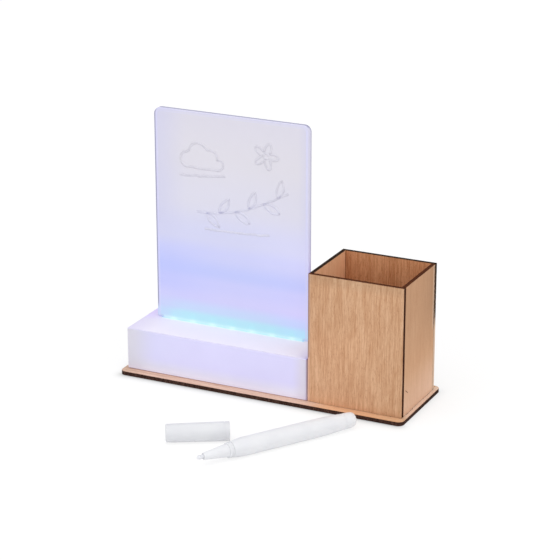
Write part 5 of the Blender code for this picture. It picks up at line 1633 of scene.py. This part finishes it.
def studio_floor():
    """A pale floor that the camera sees as white, apart from the object's soft shadow and a painted
    contact shadow round the plate.
    """
    half = FLOOR_SIZE / 2
    corners = [(-half, -half, 0), (half, -half, 0), (half, half, 0), (-half, half, 0)]
    mesh = bpy.data.meshes.new("studio floor")
    mesh.from_pydata(corners, [], [(0, 1, 2, 3)])
    floor = in_scene(bpy.data.objects.new("studio_floor", mesh))
    material = bpy.data.materials.new("studio floor")
    stage = Stage(material, "ShaderNodeOutputMaterial")
    place = stage.node("ShaderNodeTexCoord", output="Object")
    distance = stage.node("ShaderNodeVectorMath", {"operation": "LENGTH"}, {0: place}, "Value")
    own = distance * FLOOR_OWN_RISE + FLOOR_OWN_LIGHT - painted_plate_shadow(stage, place)
    shown = stage.glowing(FLOOR_SHADED_SHARE, own)
    bounced = stage.glowing(FLOOR_BOUNCE, FLOOR_BOUNCE_GLOW)
    stage.close(stage.node("ShaderNodeMixShader", None, {0: stage.seen(), 1: bounced, 2: shown}))
    mesh.materials.append(material)


def studio_sky():
    """A white backdrop for the camera that lights the object less than it shows."""
    world = bpy.data.worlds.new("studio sky")
    bpy.context.scene.world = world
    stage = Stage(world, "ShaderNodeOutputWorld")
    strength = stage.seen().floored(SKY_STRENGTH)
    sockets = {"Color": (1, 1, 1), "Strength": strength}
    stage.close(stage.node("ShaderNodeBackground", None, sockets))


def studio_lamps():
    """Large soft lamps that look at the object."""
    for name, place, size, power in LAMPS:
        light = bpy.data.lights.new(name, "AREA")
        light.size = size
        light.energy = power
        lamp = in_scene(bpy.data.objects.new(name, light))
        lamp.location = place
        lamp.rotation_euler = (LAMP_TARGET - Vector(place)).to_track_quat("-Z", "Y").to_euler()


def camera():
    """A long lens at the photograph's viewing angle."""
    lens = bpy.data.cameras.new("camera")
    lens.lens = CAMERA_LENS_MM
    lens.sensor_width = CAMERA_SENSOR_MM
    lens.clip_start = CAMERA_NEAR
    lens.clip_end = CAMERA_FAR
    level = math.cos(CAMERA_RISE)
    back = Vector(
        (math.sin(CAMERA_TURN) * level, -math.cos(CAMERA_TURN) * level, math.sin(CAMERA_RISE))
    )
    viewer = in_scene(bpy.data.objects.new("camera", lens))
    viewer.location = CAMERA_TARGET + back * CAMERA_DISTANCE
    viewer.rotation_euler = (-back).to_track_quat("-Z", "Y").to_euler()
    bpy.context.scene.camera = viewer


def main():
    bpy.context.scene.view_settings.view_transform = "Standard"
    dress_nodes()
    spindle = Spindle.lying(MARKER_TIP, MARKER_TURN)
    plastic = marker_finish("white marker plastic", (222, 223, 227), (226, 227, 230))
    marker_barrel(spindle, plastic)
    marker_section(spindle, plastic)
    marker_nib(spindle)
    marker_plug(spindle, plastic)
    # The cap's plastic is the marker's white, painted a little darker as shade
    marker_cap(marker_finish("white cap plastic", (215, 216, 220), (219, 220, 223)))
    push_button()
    pen_strokes()
    maker = row_maker()
    strip_parts(maker)
    socket_contacts(maker)
    studio_floor()
    studio_sky()
    studio_lamps()
    camera()


main()
